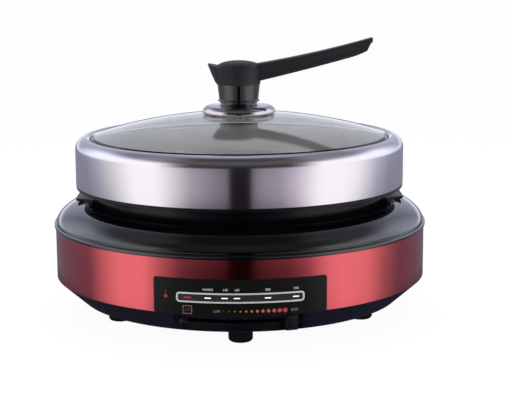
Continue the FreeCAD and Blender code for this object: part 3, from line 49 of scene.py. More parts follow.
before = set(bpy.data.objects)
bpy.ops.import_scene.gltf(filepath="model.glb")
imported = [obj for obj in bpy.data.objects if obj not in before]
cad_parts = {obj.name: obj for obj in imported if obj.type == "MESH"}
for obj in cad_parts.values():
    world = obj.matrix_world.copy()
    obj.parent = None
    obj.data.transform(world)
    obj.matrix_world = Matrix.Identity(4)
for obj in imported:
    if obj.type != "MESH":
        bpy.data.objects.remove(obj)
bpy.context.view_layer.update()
MM = 0.001
LATHE_STEPS = 192
MARK_LIFT = 0.06 * MM
MERGE = 0.002 * MM

# Studio cards as (bearing from the front in degrees, brightness), for reflections only. On the floor
# they lie near the pot and far from it, and in the world at the horizon, low down and high up
MAUVE, PLAIN, COOL = (1.0, 0.91, 1.06), (1.0, 0.985, 1.0), (0.93, 0.97, 1.2)
FRONT_BEARING, REAR_BEARING = 42, 104
# The first colour is a painted shadow: the floor's colour close under the pot, as reflections see it
UNDER_SHADOW_COLOUR, TOP_COLOUR = (0.02, 0.02, 0.035), (0.04, 0.04, 0.045)
UNDER_TO_NEAR, NEAR_TO_FAR = (0.22, 0.34), (0.58, 0.74)
HORIZON_TO_LOW, LOW_TO_HIGH, HIGH_TO_TOP = (0.02, 0.14), (0.45, 0.72), (0.88, 0.97)
NEAR_CARDS = (
    (-180, 0.16), (-106, 0.22), (-92, 0.64), (-78, 1.05), (-60, 1.06), (-48, 0.48), (-36, 0.11),
    (-24, 0.045), (-9, 0.015), (-6, 0.002), (6, 0.002), (9, 0.02), (28, 0.075), (36, 0.17),
    (42, 0.32), (54, 0.93), (64, 1.08), (82, 0.95), (100, 0.40), (116, 0.20), (180, 0.16),
)
FAR_CARDS = (
    (-180, 0.26), (-133, 0.24), (-115, 0.37), (-97, 0.70), (-78, 1.12), (-60, 1.12), (-47, 0.90),
    (-33, 0.53), (-22, 0.38), (-7.8, 0.22), (-6.4, 0.01), (0, 0.004), (7.4, 0.01), (8.8, 0.22),
    (15, 0.37), (28, 0.46), (41, 0.77), (55, 1.10), (75, 1.14), (90, 1.0), (110, 0.44),
    (128, 0.26), (180, 0.26),
)
HORIZON_CARDS = (
    (-180, 1.05), (-100, 0.9), (-80, 1.05), (-60, 1.05), (-47, 0.85), (-33, 0.50), (-22, 0.35),
    (-7.8, 0.20), (-6.4, 0.01), (7.4, 0.01), (8.8, 0.22), (28, 0.42), (41, 0.72), (55, 1.05),
    (100, 0.9), (180, 1.05),
)
LOW_CARDS = (
    (-180, 0.55), (-150, 0.40), (-125, 1.15), (-60, 1.2), (-46, 0.30), (-36, 0.02), (36, 0.02),
    (46, 0.30), (60, 1.2), (125, 1.15), (150, 0.40), (180, 0.55),
)
HIGH_CARDS = (
    (-180, 0.45), (-150, 0.22), (-126, 0.20), (-88, 0.26), (-60, 0.10), (60, 0.10), (88, 0.26),
    (126, 0.20), (150, 0.22), (180, 0.45),
)


def outer(node):
    """Outside radius of a round CAD node that stands on the axis."""
    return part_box(node)[1].x


def foot_of(node):
    """Lowest height of a CAD node."""
    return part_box(node)[0].z


def top_of(node):
    """Highest height of a CAD node."""
    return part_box(node)[1].z


# Settings a user would change


class FinishSettings(bpy.types.PropertyGroup):
    """Colours of the pot's finishes"""

    band: FloatVectorProperty(
        name="Band", description="Metallic lacquer of the band", subtype="COLOR", size=3,
        default=(0.76, 0.115, 0.135),
    )
    plastic: FloatVectorProperty(
        name="Housing", description="Moulded black of the housing", subtype="COLOR", size=3,
        default=(0.006, 0.006, 0.010),
    )
    steel: FloatVectorProperty(
        name="Steel", description="Brushed steel of the lid's skirt", subtype="COLOR", size=3,
        default=(0.86, 0.82, 0.86),
    )
    glass: FloatVectorProperty(
        name="Glass", description="Tint of the lid's glass", subtype="COLOR", size=3,
        default=(0.955, 0.97, 0.965),
    )
    handle: FloatVectorProperty(
        name="Handle", description="Matt black of the handle", subtype="COLOR", size=3,
        default=(0.0095, 0.009, 0.0115),
    )
    print_ink: FloatVectorProperty(
        name="Print", description="Ink of the panel's numbers", subtype="COLOR", size=3,
        default=(0.42, 0.42, 0.41),
    )


class FormSettings(bpy.types.PropertyGroup):
    """Sizes of the visible forms"""

    bead_height: FloatProperty(
        name="Bead height", description="Height of the bead on the band", default=4.4 * MM, unit="LENGTH"
    )
    bead_proud: FloatProperty(
        name="Bead step", description="How far the bead stands out", default=1.3 * MM, unit="LENGTH"
    )
    crown_groove: FloatProperty(
        name="Crown groove", description="Groove between bead and crown", default=1.6 * MM, unit="LENGTH"
    )
    crown_inset: FloatProperty(
        name="Crown step", description="Step from band to crown", default=0.8 * MM, unit="LENGTH"
    )
    well_radius: FloatProperty(
        name="Well", description="Radius of the well's mouth", default=161.5 * MM, unit="LENGTH"
    )
    well_ledge: FloatProperty(
        name="Ledge", description="Width of the ledge in the well", default=3.5 * MM, unit="LENGTH"
    )
    cover_wall: FloatProperty(
        name="Cover wall", description="Wall of the cover", default=2.5 * MM, unit="LENGTH"
    )
    pan_rim: FloatProperty(
        name="Pan rim", description="Width of the pan's rim", default=18 * MM, unit="LENGTH"
    )
    skirt_sheet: FloatProperty(
        name="Skirt sheet", description="Sheet of the lid's skirt", default=0.8 * MM, unit="LENGTH"
    )
    skirt_shoulder: FloatProperty(
        name="Skirt shoulder", description="Radius of the skirt's shoulder", default=12 * MM, unit="LENGTH"
    )
    glass_wall: FloatProperty(
        name="Glass wall", description="Thickness of the glass", default=4 * MM, unit="LENGTH"
    )
    glass_rise: FloatProperty(
        name="Dome rise", description="Rise of the dome above its edge", default=22 * MM, unit="LENGTH"
    )
    plate_edge: FloatProperty(
        name="Plate edge", description="Radius of the knob plate's edge", default=6.8 * MM, unit="LENGTH"
    )
    head_rim: FloatProperty(
        name="Head", description="Radius of the handle's head", default=24.6 * MM, unit="LENGTH"
    )
    lip_reach: FloatProperty(
        name="Lip", description="Reach of the head's lip", default=31.8 * MM, unit="LENGTH"
    )
    lip_rise: FloatProperty(
        name="Lip rise", description="Rise of the lip above the rim", default=4.6 * MM, unit="LENGTH"
    )
    head_tall: FloatProperty(
        name="Head height", description="Height of the handle's head", default=16.6 * MM, unit="LENGTH"
    )


class PrintSettings(bpy.types.PropertyGroup):
    """Places and sizes of the panel's prints"""

    dot_count: IntProperty(
        name="Dots", description="Number of dots on the heat scale", default=12, min=2
    )
    dot_small: FloatProperty(
        name="Small dot", description="Radius of the first dot", default=0.35 * MM, unit="LENGTH"
    )
    dot_large: FloatProperty(
        name="Large dot", description="Radius of the last dot", default=2.1 * MM, unit="LENGTH"
    )
    dot_start: FloatProperty(
        name="Scale start", description="Angle of the first dot", default=math.radians(-4.6), unit="ROTATION"
    )
    dot_end: FloatProperty(
        name="Scale end", description="Angle of the last dot", default=math.radians(12.3), unit="ROTATION"
    )
    digit_height: FloatProperty(
        name="Digits", description="Height of the panel's digits", default=2.2 * MM, unit="LENGTH"
    )


class StageSettings(bpy.types.PropertyGroup):
    """Camera and lights of the studio"""

    distance: FloatProperty(
        name="Distance", description="Camera's distance from the axis", default=1.3274, unit="LENGTH"
    )
    height: FloatProperty(
        name="Height", description="Camera's height above the table", default=0.3513, unit="LENGTH"
    )
    pitch: FloatProperty(
        name="Pitch", description="Camera's tilt below level", default=math.radians(10.21), unit="ROTATION"
    )
    roll: FloatProperty(
        name="Roll", description="Camera's roll", default=math.radians(0.45), unit="ROTATION"
    )
    view_angle: FloatProperty(
        name="View angle", description="Camera's view across", default=math.radians(22.35), unit="ROTATION"
    )
    shift: FloatProperty(name="Shift", description="Camera's shift across", default=0.0321)


# Helpers for node trees and materials


def link(tree, start, end):
    """Join two sockets."""
    tree.links.new(start, end)


def math_node(tree, operation, first, second=None):
    """Add a Math node fed by sockets or numbers and return its output."""
    node = tree.nodes.new("ShaderNodeMath")
    node.operation = operation
    for index, value in enumerate((first, second)):
        if value is None:
            continue
        if isinstance(value, (int, float)):
            node.inputs[index].default_value = value
        else:
            link(tree, value, node.inputs[index])
    return node.outputs[0]


def surface(name, colour, roughness, metallic=0.0, coat=0.0, specular=0.5):
    """Make a Principled material and return it with its tree and shader."""
    material = bpy.data.materials.new(name)
    material.use_nodes = True
    tree = material.node_tree
    shader = tree.nodes["Principled BSDF"]
    shader.inputs["Base Color"].default_value = (*colour, 1)
    shader.inputs["Roughness"].default_value = roughness
    shader.inputs["Metallic"].default_value = metallic
    shader.inputs["Coat Weight"].default_value = coat
    shader.inputs["Coat Roughness"].default_value = 0.04
    shader.inputs["Specular IOR Level"].default_value = specular
    return material, tree, shader


def grain(tree, shader, scale, low, high, stretch=(1, 1, 1), bump=0.0):
    """Vary the roughness with noise on Object coordinates, and dent the surface with it."""
    place = tree.nodes.new("ShaderNodeTexCoord")
    mapping = tree.nodes.new("ShaderNodeMapping")
    mapping.inputs["Scale"].default_value = stretch
    noise = tree.nodes.new("ShaderNodeTexNoise")
    noise.inputs["Scale"].default_value = scale
    noise.inputs["Detail"].default_value = 3
    spread = tree.nodes.new("ShaderNodeMapRange")
    spread.inputs["To Min"].default_value = low
    spread.inputs["To Max"].default_value = high
    link(tree, place.outputs["Object"], mapping.inputs["Vector"])
    link(tree, mapping.outputs["Vector"], noise.inputs["Vector"])
    link(tree, noise.outputs["Fac"], spread.inputs["Value"])
    link(tree, spread.outputs["Result"], shader.inputs["Roughness"])
    if bump:
        dent = tree.nodes.new("ShaderNodeBump")
        dent.inputs["Strength"].default_value = bump
        dent.inputs["Distance"].default_value = 0.1 * MM
        link(tree, noise.outputs["Fac"], dent.inputs["Height"])
        link(tree, dent.outputs["Normal"], shader.inputs["Normal"])


def moulded(name, colour, roughness, fine=900, bump=0.04, coat=0.0, specular=0.5):
    """Moulded plastic with a faint grain."""
    material, tree, shader = surface(name, colour, roughness, coat=coat, specular=specular)
    grain(tree, shader, fine, roughness * 0.85, roughness * 1.2, bump=bump)
    return material


def brushed(name, colour, roughness, bump=0.006, pull=0.92):
    """Steel brushed round the axis, which spreads its reflections up and down."""
    material, tree, shader = surface(name, colour, roughness, metallic=1.0)
    grain(tree, shader, 6, roughness * 0.85, roughness * 1.2, stretch=(1, 1, 700), bump=bump)
    shader.inputs["Anisotropic"].default_value = pull
    shader.inputs["Anisotropic Rotation"].default_value = 0.25
    around = tree.nodes.new("ShaderNodeTangent")
    around.direction_type = "RADIAL"
    around.axis = "Z"
    link(tree, around.outputs["Tangent"], shader.inputs["Tangent"])
    return material


def plain_metal(name, colour, roughness):
    """Bare or plated metal with slight smears."""
    material, tree, shader = surface(name, colour, roughness, metallic=1.0)
    grain(tree, shader, 60, roughness * 0.8, roughness * 1.3)
    return material


def lacquer(name, colour):
    """Metallic lacquer on sheet that is brushed round the axis, under a clear coat."""
    material = brushed(name, colour, 0.16, bump=0.004, pull=0.6)
    shader = material.node_tree.nodes["Principled BSDF"]
    shader.inputs["Coat Weight"].default_value = 0.5
    shader.inputs["Coat Roughness"].default_value = 0.03
    return material


def clear_glass(name, colour):
    """Clear tempered glass that lets the lamps light what lies under it."""
    material, tree, shader = surface(name, colour, 0.0)
    shader.inputs["Transmission Weight"].default_value = 1.0
    shader.inputs["IOR"].default_value = 1.46
    grain(tree, shader, 20, 0.0, 0.003)
    through = tree.nodes.new("ShaderNodeBsdfTransparent")
    through.inputs["Color"].default_value = (*colour, 1)
    rays = tree.nodes.new("ShaderNodeLightPath")
    lit = math_node(tree, "MAXIMUM", rays.outputs["Is Shadow Ray"], rays.outputs["Is Diffuse Ray"])
    mix = tree.nodes.new("ShaderNodeMixShader")
    link(tree, lit, mix.inputs["Fac"])
    link(tree, shader.outputs[0], mix.inputs[1])
    link(tree, through.outputs[0], mix.inputs[2])
    link(tree, mix.outputs[0], tree.nodes["Material Output"].inputs["Surface"])
    return material


def silvered(name, colour):
    """Silver trim between paint and metal."""
    material, tree, shader = surface(name, colour, 0.22, metallic=0.6)
    grain(tree, shader, 60, 0.18, 0.27)
    return material


def glowing(name, colour, strength):
    """Printed or lit mark with an even colour and a faint glow; on the prints, which are no lamps, the glow
    is painted light.
    """
    material, tree, shader = surface(name, colour, 0.5)
    # Painted glow: the mark gives off a little light of its own colour
    shader.inputs["Emission Color"].default_value = (*colour, 1)
    shader.inputs["Emission Strength"].default_value = strength
    grain(tree, shader, 500, 0.45, 0.55)
    return material


def warm_scale(name, start, end):
    """Ink that goes from yellow through orange to red along the heat scale, with a faint painted glow."""
    material, tree, shader = surface(name, (1, 0.4, 0.1), 0.5)
    place = tree.nodes.new("ShaderNodeTexCoord")
    parts = tree.nodes.new("ShaderNodeSeparateXYZ")
    spread = tree.nodes.new("ShaderNodeMapRange")
    spread.inputs["From Min"].default_value = start
    spread.inputs["From Max"].default_value = end
    ramp = tree.nodes.new("ShaderNodeValToRGB")
    ramp.color_ramp.elements[0].color = (0.22, 0.13, 0.02, 1)
    ramp.color_ramp.elements[1].color = (0.34, 0.010, 0.013, 1)
    middle = ramp.color_ramp.elements.new(0.62)
    middle.color = (0.33, 0.075, 0.030, 1)
    link(tree, place.outputs["Object"], parts.inputs[0])
    link(tree, parts.outputs["X"], spread.inputs["Value"])
    link(tree, spread.outputs["Result"], ramp.inputs["Fac"])
    link(tree, ramp.outputs["Color"], shader.inputs["Base Color"])
    link(tree, ramp.outputs["Color"], shader.inputs["Emission Color"])
    # Painted glow: the ink gives off a little light of its own colour
    shader.inputs["Emission Strength"].default_value = 0.14
    return material


_finishes = {}


def finish_named(name):
    """Make each finish once and hand it out by name."""
    if name in _finishes:
        return _finishes[name]
    tints = bpy.context.scene.pot_finishes
    makers = {
        "black_plastic": lambda: moulded("Moulded black", tints.plastic, 0.2, bump=0.01, coat=0.7),
        "gloss_black": lambda: moulded("Gloss black", (0.0012, 0.0012, 0.0018), 0.09, bump=0.0, coat=1.0),
        "panel_black": lambda: moulded(
            "Panel black", (0.0040, 0.0045, 0.0034), 0.3, bump=0.0, specular=0.22
        ),
        "window_black": lambda: moulded("Window smoke", (0.016, 0.016, 0.017), 0.3, bump=0.0),
        "rim_silver": lambda: silvered("Silvered rim", (0.86, 0.86, 0.86)),
        "red_lacquer": lambda: lacquer("Metallic red lacquer", tints.band),
        "stainless": lambda: brushed("Brushed stainless", tints.steel, 0.18),
        "steel": lambda: plain_metal("Plain steel", (0.5, 0.5, 0.5), 0.34),
        "galvanised": lambda: plain_metal("Galvanised sheet", (0.42, 0.43, 0.44), 0.45),
        "chrome": lambda: plain_metal("Chrome plate", (0.66, 0.62, 0.62), 0.07),
        "element_sheath": lambda: plain_metal("Oxidised sheath", (0.09, 0.085, 0.08), 0.5),
        "brass": lambda: plain_metal("Bare brass", (0.62, 0.45, 0.18), 0.3),
        "ceramic": lambda: moulded("White ceramic", (0.72, 0.7, 0.66), 0.35),
        "stat_plastic": lambda: moulded("Brown phenolic", (0.05, 0.03, 0.02), 0.45),
        "wire_sleeve": lambda: moulded("Glass sleeve", (0.6, 0.58, 0.52), 0.8, fine=1500, bump=0.5),
        "rubber": lambda: moulded("Black rubber", (0.007, 0.006, 0.011), 0.3, bump=0.03, coat=0.3),
        "silicone": lambda: moulded("Grey silicone", (0.05, 0.05, 0.055), 0.5),
        "pan_coating": lambda: moulded(
            "Pan coating", (0.0025, 0.0025, 0.004), 0.22, fine=1300, bump=0.0, specular=0.3
        ),
        "ear_black": lambda: moulded(
            "Ear black", (0.004, 0.0035, 0.004), 0.3, fine=1300, bump=0.0, specular=0.25
        ),
        "pan_lining": lambda: moulded("Pan lining", (0.20, 0.205, 0.19), 0.4, fine=700, bump=0.0),
        "matt_black": lambda: moulded("Matt handle", tints.handle, 0.45, fine=1600, bump=0.12),
        "clear_glass": lambda: clear_glass("Tempered glass", tints.glass),
        # Prints and marks below carry a faint painted glow
        "print_white": lambda: glowing("Pale print", tints.print_ink, 0.1),
        "print_grey": lambda: glowing("Grey print", (0.17, 0.16, 0.155), 0.1),
        "tube_grey": lambda: glowing("Dim tube", (0.035, 0.03, 0.035), 0.1),
        "mark_white": lambda: glowing("White mark", (0.85, 0.85, 0.83), 0.3),
        "mark_red": lambda: glowing("Red mark", (0.14, 0.004, 0.007), 0.15),
        "red_lens": lambda: glowing("Red lens", (0.27, 0.006, 0.011), 0.2),
    }
    _finishes[name] = makers[name]()
    return _finishes[name]


# Helpers for meshes


def new_piece(name, form, sharp=32):
    """Turn a bmesh into an object with smooth shading and crisp edges."""
    mesh = bpy.data.meshes.new(name)
    form.to_mesh(mesh)
    form.free()
    piece = bpy.data.objects.new(name, mesh)
    bpy.context.scene.collection.objects.link(piece)
    mesh.shade_smooth()
    mesh.set_sharp_from_angle(angle=math.radians(sharp))
    return piece


def settle(piece, body, finish, nodes=()):
    """Give a finished piece its material and its body, and hide the CAD nodes that it stands for."""
    piece.data.materials.clear()
    piece.data.materials.append(finish_named(finish))
    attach(piece, body)
    if nodes:
        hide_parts(*nodes)
    return piece


def paint(node, finish):
    """Put a finish on a CAD node that is shown as it is."""
    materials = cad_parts[node].data.materials
    materials.clear()
    materials.append(finish_named(finish))


def smooth_copy(node, name, sharp=32):
    """Copy a CAD node's mesh with its corners merged, so that its round sides shade smoothly."""
    form = bmesh.new()
    form.from_mesh(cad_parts[node].data)
    bmesh.ops.remove_doubles(form, verts=form.verts, dist=MERGE)
    return new_piece(name, form, sharp)


def rounded(corners, steps=7):
    """Points of a closed outline whose (across, up, radius) corners are rounded."""
    points = []
    for index, (across, up, radius) in enumerate(corners):
        here = Vector((across, up))
        before = Vector(corners[index - 1][:2]) - here
        after = Vector(corners[(index + 1) % len(corners)][:2]) - here
        if radius <= 0:
            points.append((across, up))
            continue
        half = before.angle(after) / 2
        reach = min(radius / math.tan(half), before.length * 0.499, after.length * 0.499)
        radius = reach * math.tan(half)
        centre = here + (before.normalized() + after.normalized()).normalized() * radius / math.sin(half)
        start = here + before.normalized() * reach - centre
        end = here + after.normalized() * reach - centre
        first = math.atan2(start.y, start.x)
        turn = (math.atan2(end.y, end.x) - first + math.pi) % math.tau - math.pi
        for step in range(steps + 1):
            angle = first + turn * step / steps
            points.append((centre.x + radius * math.cos(angle), centre.y + radius * math.sin(angle)))
    return points


def shoulder(across, up, wide, tall, steps=18, flatter=0.0):
    """Corners along a quarter ellipse from its side to its crest, drawn towards its chord if asked."""
    corners = []
    for step in range(1, steps + 1):
        share = step / steps
        turn = math.radians(90 * share)
        side = math.cos(turn) * (1 - flatter) + (1 - share) * flatter
        rise = math.sin(turn) * (1 - flatter) + share * flatter
        corners.append((across + wide * side, up + tall * rise, 0))
    return corners


def lathe(name, outline, steps=LATHE_STEPS, sharp=32, opening=None):
    """Turn a closed outline of (across, up) points about the axis, with an opening at the rear if asked."""
    form = bmesh.new()
    rings = []
    for across, up in outline:
        count = steps if across > 0.001 * MM else 1
        turns = [math.tau * step / steps for step in range(count)]
        places = [(across * math.cos(turn), across * math.sin(turn), up) for turn in turns]
        rings.append([form.verts.new(place) for place in places])
    for index, ring in enumerate(rings):
        following = rings[(index + 1) % len(rings)]
        if len(ring) == len(following) == 1:
            continue
        for step in range(steps):
            later = (step + 1) % steps
            corners = [ring[step % len(ring)], ring[later % len(ring)]]
            corners += [following[later % len(following)], following[step % len(following)]]
            form.faces.new(list(dict.fromkeys(corners)))
    bmesh.ops.recalc_face_normals(form, faces=form.faces)
    if opening:
        low, high = opening
        middles = {face: face.calc_center_median() for face in form.faces}
        gone = [
            face for face, middle in middles.items()
            if middle.y > 0 and abs(middle.x) < high.x and low.z < middle.z < high.z
        ]
        bmesh.ops.delete(form, geom=gone, context="FACES")
    return new_piece(name, form, sharp)


def lumps(node):
    """Boxes of the separate lumps of a CAD node."""
    form = bmesh.new()
    form.from_mesh(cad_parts[node].data)
    bmesh.ops.remove_doubles(form, verts=form.verts, dist=MERGE)
    left = set(form.verts)
    boxes = []
    while left:
        queue = [left.pop()]
        lump = []
        while queue:
            vert = queue.pop()
            lump.append(vert.co.copy())
            for edge in vert.link_edges:
                other = edge.other_vert(vert)
                if other in left:
                    left.remove(other)
                    queue.append(other)
        low = Vector(min(place[axis] for place in lump) for axis in range(3))
        high = Vector(max(place[axis] for place in lump) for axis in range(3))
        boxes.append((low, high))
    form.free()
    return boxes


def wrapped(name, outlines, angle, level, radius, lift=MARK_LIFT, step=1.5 * MM):
    """Lay flat outlines of (right, up) points on a cylinder, at an angle from the front."""
    form = bmesh.new()
    for outline in outlines:
        low = [form.verts.new((across, 0, up)) for across, up in outline]
        face = form.faces.new(low)
        grown = bmesh.ops.extrude_face_region(form, geom=[face])
        for item in grown["geom"]:
            if isinstance(item, bmesh.types.BMVert):
                item.co.y = lift
    across = [vert.co.x for vert in form.verts]
    place = math.floor(min(across) / step) * step + step
    while place < max(across):
        everything = form.verts[:] + form.edges[:] + form.faces[:]
        bmesh.ops.bisect_plane(form, geom=everything, plane_co=(place, 0, 0), plane_no=(1, 0, 0))
        place += step
    bmesh.ops.recalc_face_normals(form, faces=form.faces)
    bend(form.verts, angle, level, radius)
    return new_piece(name, form)


def bend(verts, angle, level, radius):
    """Move flat points on to a cylinder about the axis."""
    for vert in verts:
        turn = angle + vert.co.x / radius
        away = radius + vert.co.y
        vert.co = Vector((away * math.sin(turn), -away * math.cos(turn), level + vert.co.z))


def box_outline(wide, tall, corner=0.0):
    """Rectangle about the middle, with rounded corners if asked."""
    corners = [(wide / 2, -tall / 2), (wide / 2, tall / 2), (-wide / 2, tall / 2), (-wide / 2, -tall / 2)]
    return rounded([(across, up, corner) for across, up in corners], steps=4)


def disc_outline(radius, sides=24):
    """Circle about the middle."""
    turns = [math.tau * side / sides for side in range(sides)]
    return [(radius * math.cos(turn), radius * math.sin(turn)) for turn in turns]


def frame_outlines(wide, tall, line):
    """Four bars that make a square frame."""
    side = [(across * (wide - line) / 2, 0) for across in (-1, 1)]
    flat = [(0, up * (tall - line) / 2) for up in (-1, 1)]
    bars = [[(x + dx, y + dy) for dx, dy in box_outline(line, tall)] for x, y in side]
    bars += [[(x + dx, y + dy) for dx, dy in box_outline(wide - 2 * line, line)] for x, y in flat]
    return bars


def lettering(name, text, height, angle, level, radius, bold=0.0, narrow=1.0):
    """Digits or a sign laid on the panel."""
    curve = bpy.data.curves.new(name, "FONT")
    curve.body = text
    curve.size = height / 0.7
    curve.align_x = "CENTER"
    curve.extrude = MARK_LIFT / 2
    curve.offset = bold
    curve.space_character = 1.05
    holder = bpy.data.objects.new(name, curve)
    bpy.context.scene.collection.objects.link(holder)
    bpy.context.view_layer.update()
    evaluated = holder.evaluated_get(bpy.context.evaluated_depsgraph_get())
    form = bmesh.new()
    form.from_mesh(bpy.data.meshes.new_from_object(evaluated))
    bpy.data.objects.remove(holder)
    # The letters lie flat in X and Y: stand them up and let their thickness face outwards
    for vert in form.verts:
        vert.co = Vector((vert.co.x * narrow, vert.co.z + MARK_LIFT / 2, vert.co.y))
    bend(form.verts, angle, level, radius)
    bmesh.ops.recalc_face_normals(form, faces=form.faces)
    return new_piece(name, form)


# Helpers for Geometry Nodes


def node_tree(name, inputs):
    """Start a Geometry Nodes tree with named inputs."""
    tree = bpy.data.node_groups.new(name, "GeometryNodeTree")
    for label, kind, default in inputs:
        socket = tree.interface.new_socket(label, in_out="INPUT", socket_type=kind)
        if default is not None:
            socket.default_value = default
    tree.interface.new_socket("Geometry", in_out="OUTPUT", socket_type="NodeSocketGeometry")
    given = tree.nodes.new("NodeGroupInput")
    result = tree.nodes.new("NodeGroupOutput")
    return tree, given.outputs, result.inputs["Geometry"]


def close_tree(tree, given, geometry, result):
    """End a tree in real geometry with its material."""
    real = tree.nodes.new("GeometryNodeRealizeInstances")
    coat = tree.nodes.new("GeometryNodeSetMaterial")
    link(tree, geometry, real.inputs[0])
    link(tree, real.outputs[0], coat.inputs["Geometry"])
    link(tree, given["Material"], coat.inputs["Material"])
    link(tree, coat.outputs[0], result)


def grown(name, tree, **values):
    """Run a tree and keep the plain mesh that it makes."""
    host = bpy.data.objects.new(name, bpy.data.meshes.new(name))
    bpy.context.scene.collection.objects.link(host)
    modifier = host.modifiers.new(name, "NODES")
    modifier.node_group = tree
    for item in tree.interface.items_tree:
        key = item.name.lower().replace(" ", "_")
        if item.in_out == "INPUT" and key in values:
            modifier[item.identifier] = values[key]
    bpy.context.view_layer.update()
    evaluated = host.evaluated_get(bpy.context.evaluated_depsgraph_get())
    mesh = bpy.data.meshes.new_from_object(evaluated)
    host.modifiers.remove(modifier)
    host.data = mesh
    mesh.shade_smooth()
    mesh.set_sharp_from_angle(angle=math.radians(40))
    return host


def dot_row_tree():
    """Discs of growing size along an arc, facing outwards."""
    tree, given, result = node_tree("Growing dots", [
        ("Count", "NodeSocketInt", 12),
        ("Radius", "NodeSocketFloat", 0.19),
        ("Start", "NodeSocketFloat", 0.0),
        ("Sweep", "NodeSocketFloat", 0.3),
        ("Level", "NodeSocketFloat", 0.044),
        ("Smallest", "NodeSocketFloat", 0.0004),
        ("Largest", "NodeSocketFloat", 0.0018),
        ("Thickness", "NodeSocketFloat", 0.0001),
        ("Material", "NodeSocketMaterial", None),
    ])
    arc = tree.nodes.new("GeometryNodeCurveArc")
    link(tree, given["Count"], arc.inputs["Resolution"])
    link(tree, given["Radius"], arc.inputs["Radius"])
    link(tree, given["Start"], arc.inputs["Start Angle"])
    link(tree, given["Sweep"], arc.inputs["Sweep Angle"])
    points = tree.nodes.new("GeometryNodeCurveToPoints")
    points.mode = "EVALUATED"
    link(tree, arc.outputs["Curve"], points.inputs["Curve"])
    disc = tree.nodes.new("GeometryNodeMeshCylinder")
    disc.inputs["Vertices"].default_value = 24
    disc.inputs["Radius"].default_value = 1.0
    disc.inputs["Depth"].default_value = 1.0
    index = tree.nodes.new("GeometryNodeInputIndex")
    last = math_node(tree, "SUBTRACT", given["Count"], 1)
    share = math_node(tree, "DIVIDE", index.outputs[0], last)
    growth = math_node(tree, "SUBTRACT", given["Largest"], given["Smallest"])
    size = math_node(tree, "ADD", given["Smallest"], math_node(tree, "MULTIPLY", share, growth))
    scale = tree.nodes.new("ShaderNodeCombineXYZ")
    link(tree, size, scale.inputs[0])
    link(tree, size, scale.inputs[1])
    link(tree, given["Thickness"], scale.inputs[2])
    outwards = tree.nodes.new("FunctionNodeAlignRotationToVector")
    outwards.axis = "Z"
    place = tree.nodes.new("GeometryNodeInputPosition")
    link(tree, place.outputs[0], outwards.inputs["Vector"])
    copies = tree.nodes.new("GeometryNodeInstanceOnPoints")
    link(tree, points.outputs["Points"], copies.inputs["Points"])
    link(tree, disc.outputs["Mesh"], copies.inputs["Instance"])
    link(tree, outwards.outputs[0], copies.inputs["Rotation"])
    link(tree, scale.outputs[0], copies.inputs["Scale"])
    lift = tree.nodes.new("GeometryNodeTransform")
    height = tree.nodes.new("ShaderNodeCombineXYZ")
    link(tree, given["Level"], height.inputs[2])
    link(tree, copies.outputs[0], lift.inputs["Geometry"])
    link(tree, height.outputs[0], lift.inputs["Translation"])
    close_tree(tree, given, lift.outputs[0], result)
    return tree


def coil_tree():
    """Wire wound into an upright coil spring."""
    tree, given, result = node_tree("Coil spring", [
        ("Foot", "NodeSocketFloat", 0.0),
        ("Height", "NodeSocketFloat", 0.01),
        ("Radius", "NodeSocketFloat", 0.005),
        ("Wire", "NodeSocketFloat", 0.0004),
        ("Turns", "NodeSocketFloat", 5.0),
        ("Material", "NodeSocketMaterial", None),
    ])
    spiral = tree.nodes.new("GeometryNodeCurveSpiral")
    spiral.inputs["Resolution"].default_value = 24
    link(tree, given["Turns"], spiral.inputs["Rotations"])
    link(tree, given["Radius"], spiral.inputs["Start Radius"])
    link(tree, given["Radius"], spiral.inputs["End Radius"])
    link(tree, given["Height"], spiral.inputs["Height"])
    ring = tree.nodes.new("GeometryNodeCurvePrimitiveCircle")
    ring.inputs["Resolution"].default_value = 8
    link(tree, given["Wire"], ring.inputs["Radius"])
    wire = tree.nodes.new("GeometryNodeCurveToMesh")
    wire.inputs["Fill Caps"].default_value = True
    link(tree, spiral.outputs["Curve"], wire.inputs["Curve"])
    link(tree, ring.outputs["Curve"], wire.inputs["Profile Curve"])
    lift = tree.nodes.new("GeometryNodeTransform")
    height = tree.nodes.new("ShaderNodeCombineXYZ")
    link(tree, given["Foot"], height.inputs[2])
    link(tree, wire.outputs[0], lift.inputs["Geometry"])
    link(tree, height.outputs[0], lift.inputs["Translation"])
    close_tree(tree, given, lift.outputs[0], result)
    return tree


# Pieces of the pot


class HOTPOT_OT_housing(bpy.types.Operator):
    """Dress the lower housing, its feet, its plate and the temperature lever"""

    bl_idname = "hotpot.housing"
    bl_label = "Housing"

    def execute(self, context):
        shell = smooth_copy("base_shell", "tapered_housing")
        settle(shell, "base", "black_plastic", ["base_shell"])
        foot_edge = 3.2 * MM
        for number, (low, high) in enumerate(lumps("rubber_feet"), start=1):
            radius = (high.x - low.x) / 2
            outline = rounded([
                (0, low.z, 0),
                (radius, low.z, foot_edge),
                (radius, foot_of("base_shell"), 0),
                (0, foot_of("base_shell"), 0),
            ])
            foot = lathe(f"moulded_foot_{number}", outline, steps=64)
            middle = (low + high) / 2
            foot.data.transform(Matrix.Translation((middle.x, middle.y, 0)))
            settle(foot, "base", "rubber", ["rubber_feet"])
        paint("bottom_plate", "galvanised")
        for node in ("tie_screws", "lever_arm", "thermostat_spindle", "spindle_nut"):
            paint(node, "steel")
        grip = smooth_copy("lever_grip", "lever_thumb_grip")
        settle(grip, "lever", "black_plastic", ["lever_grip"])
        return {"FINISHED"}


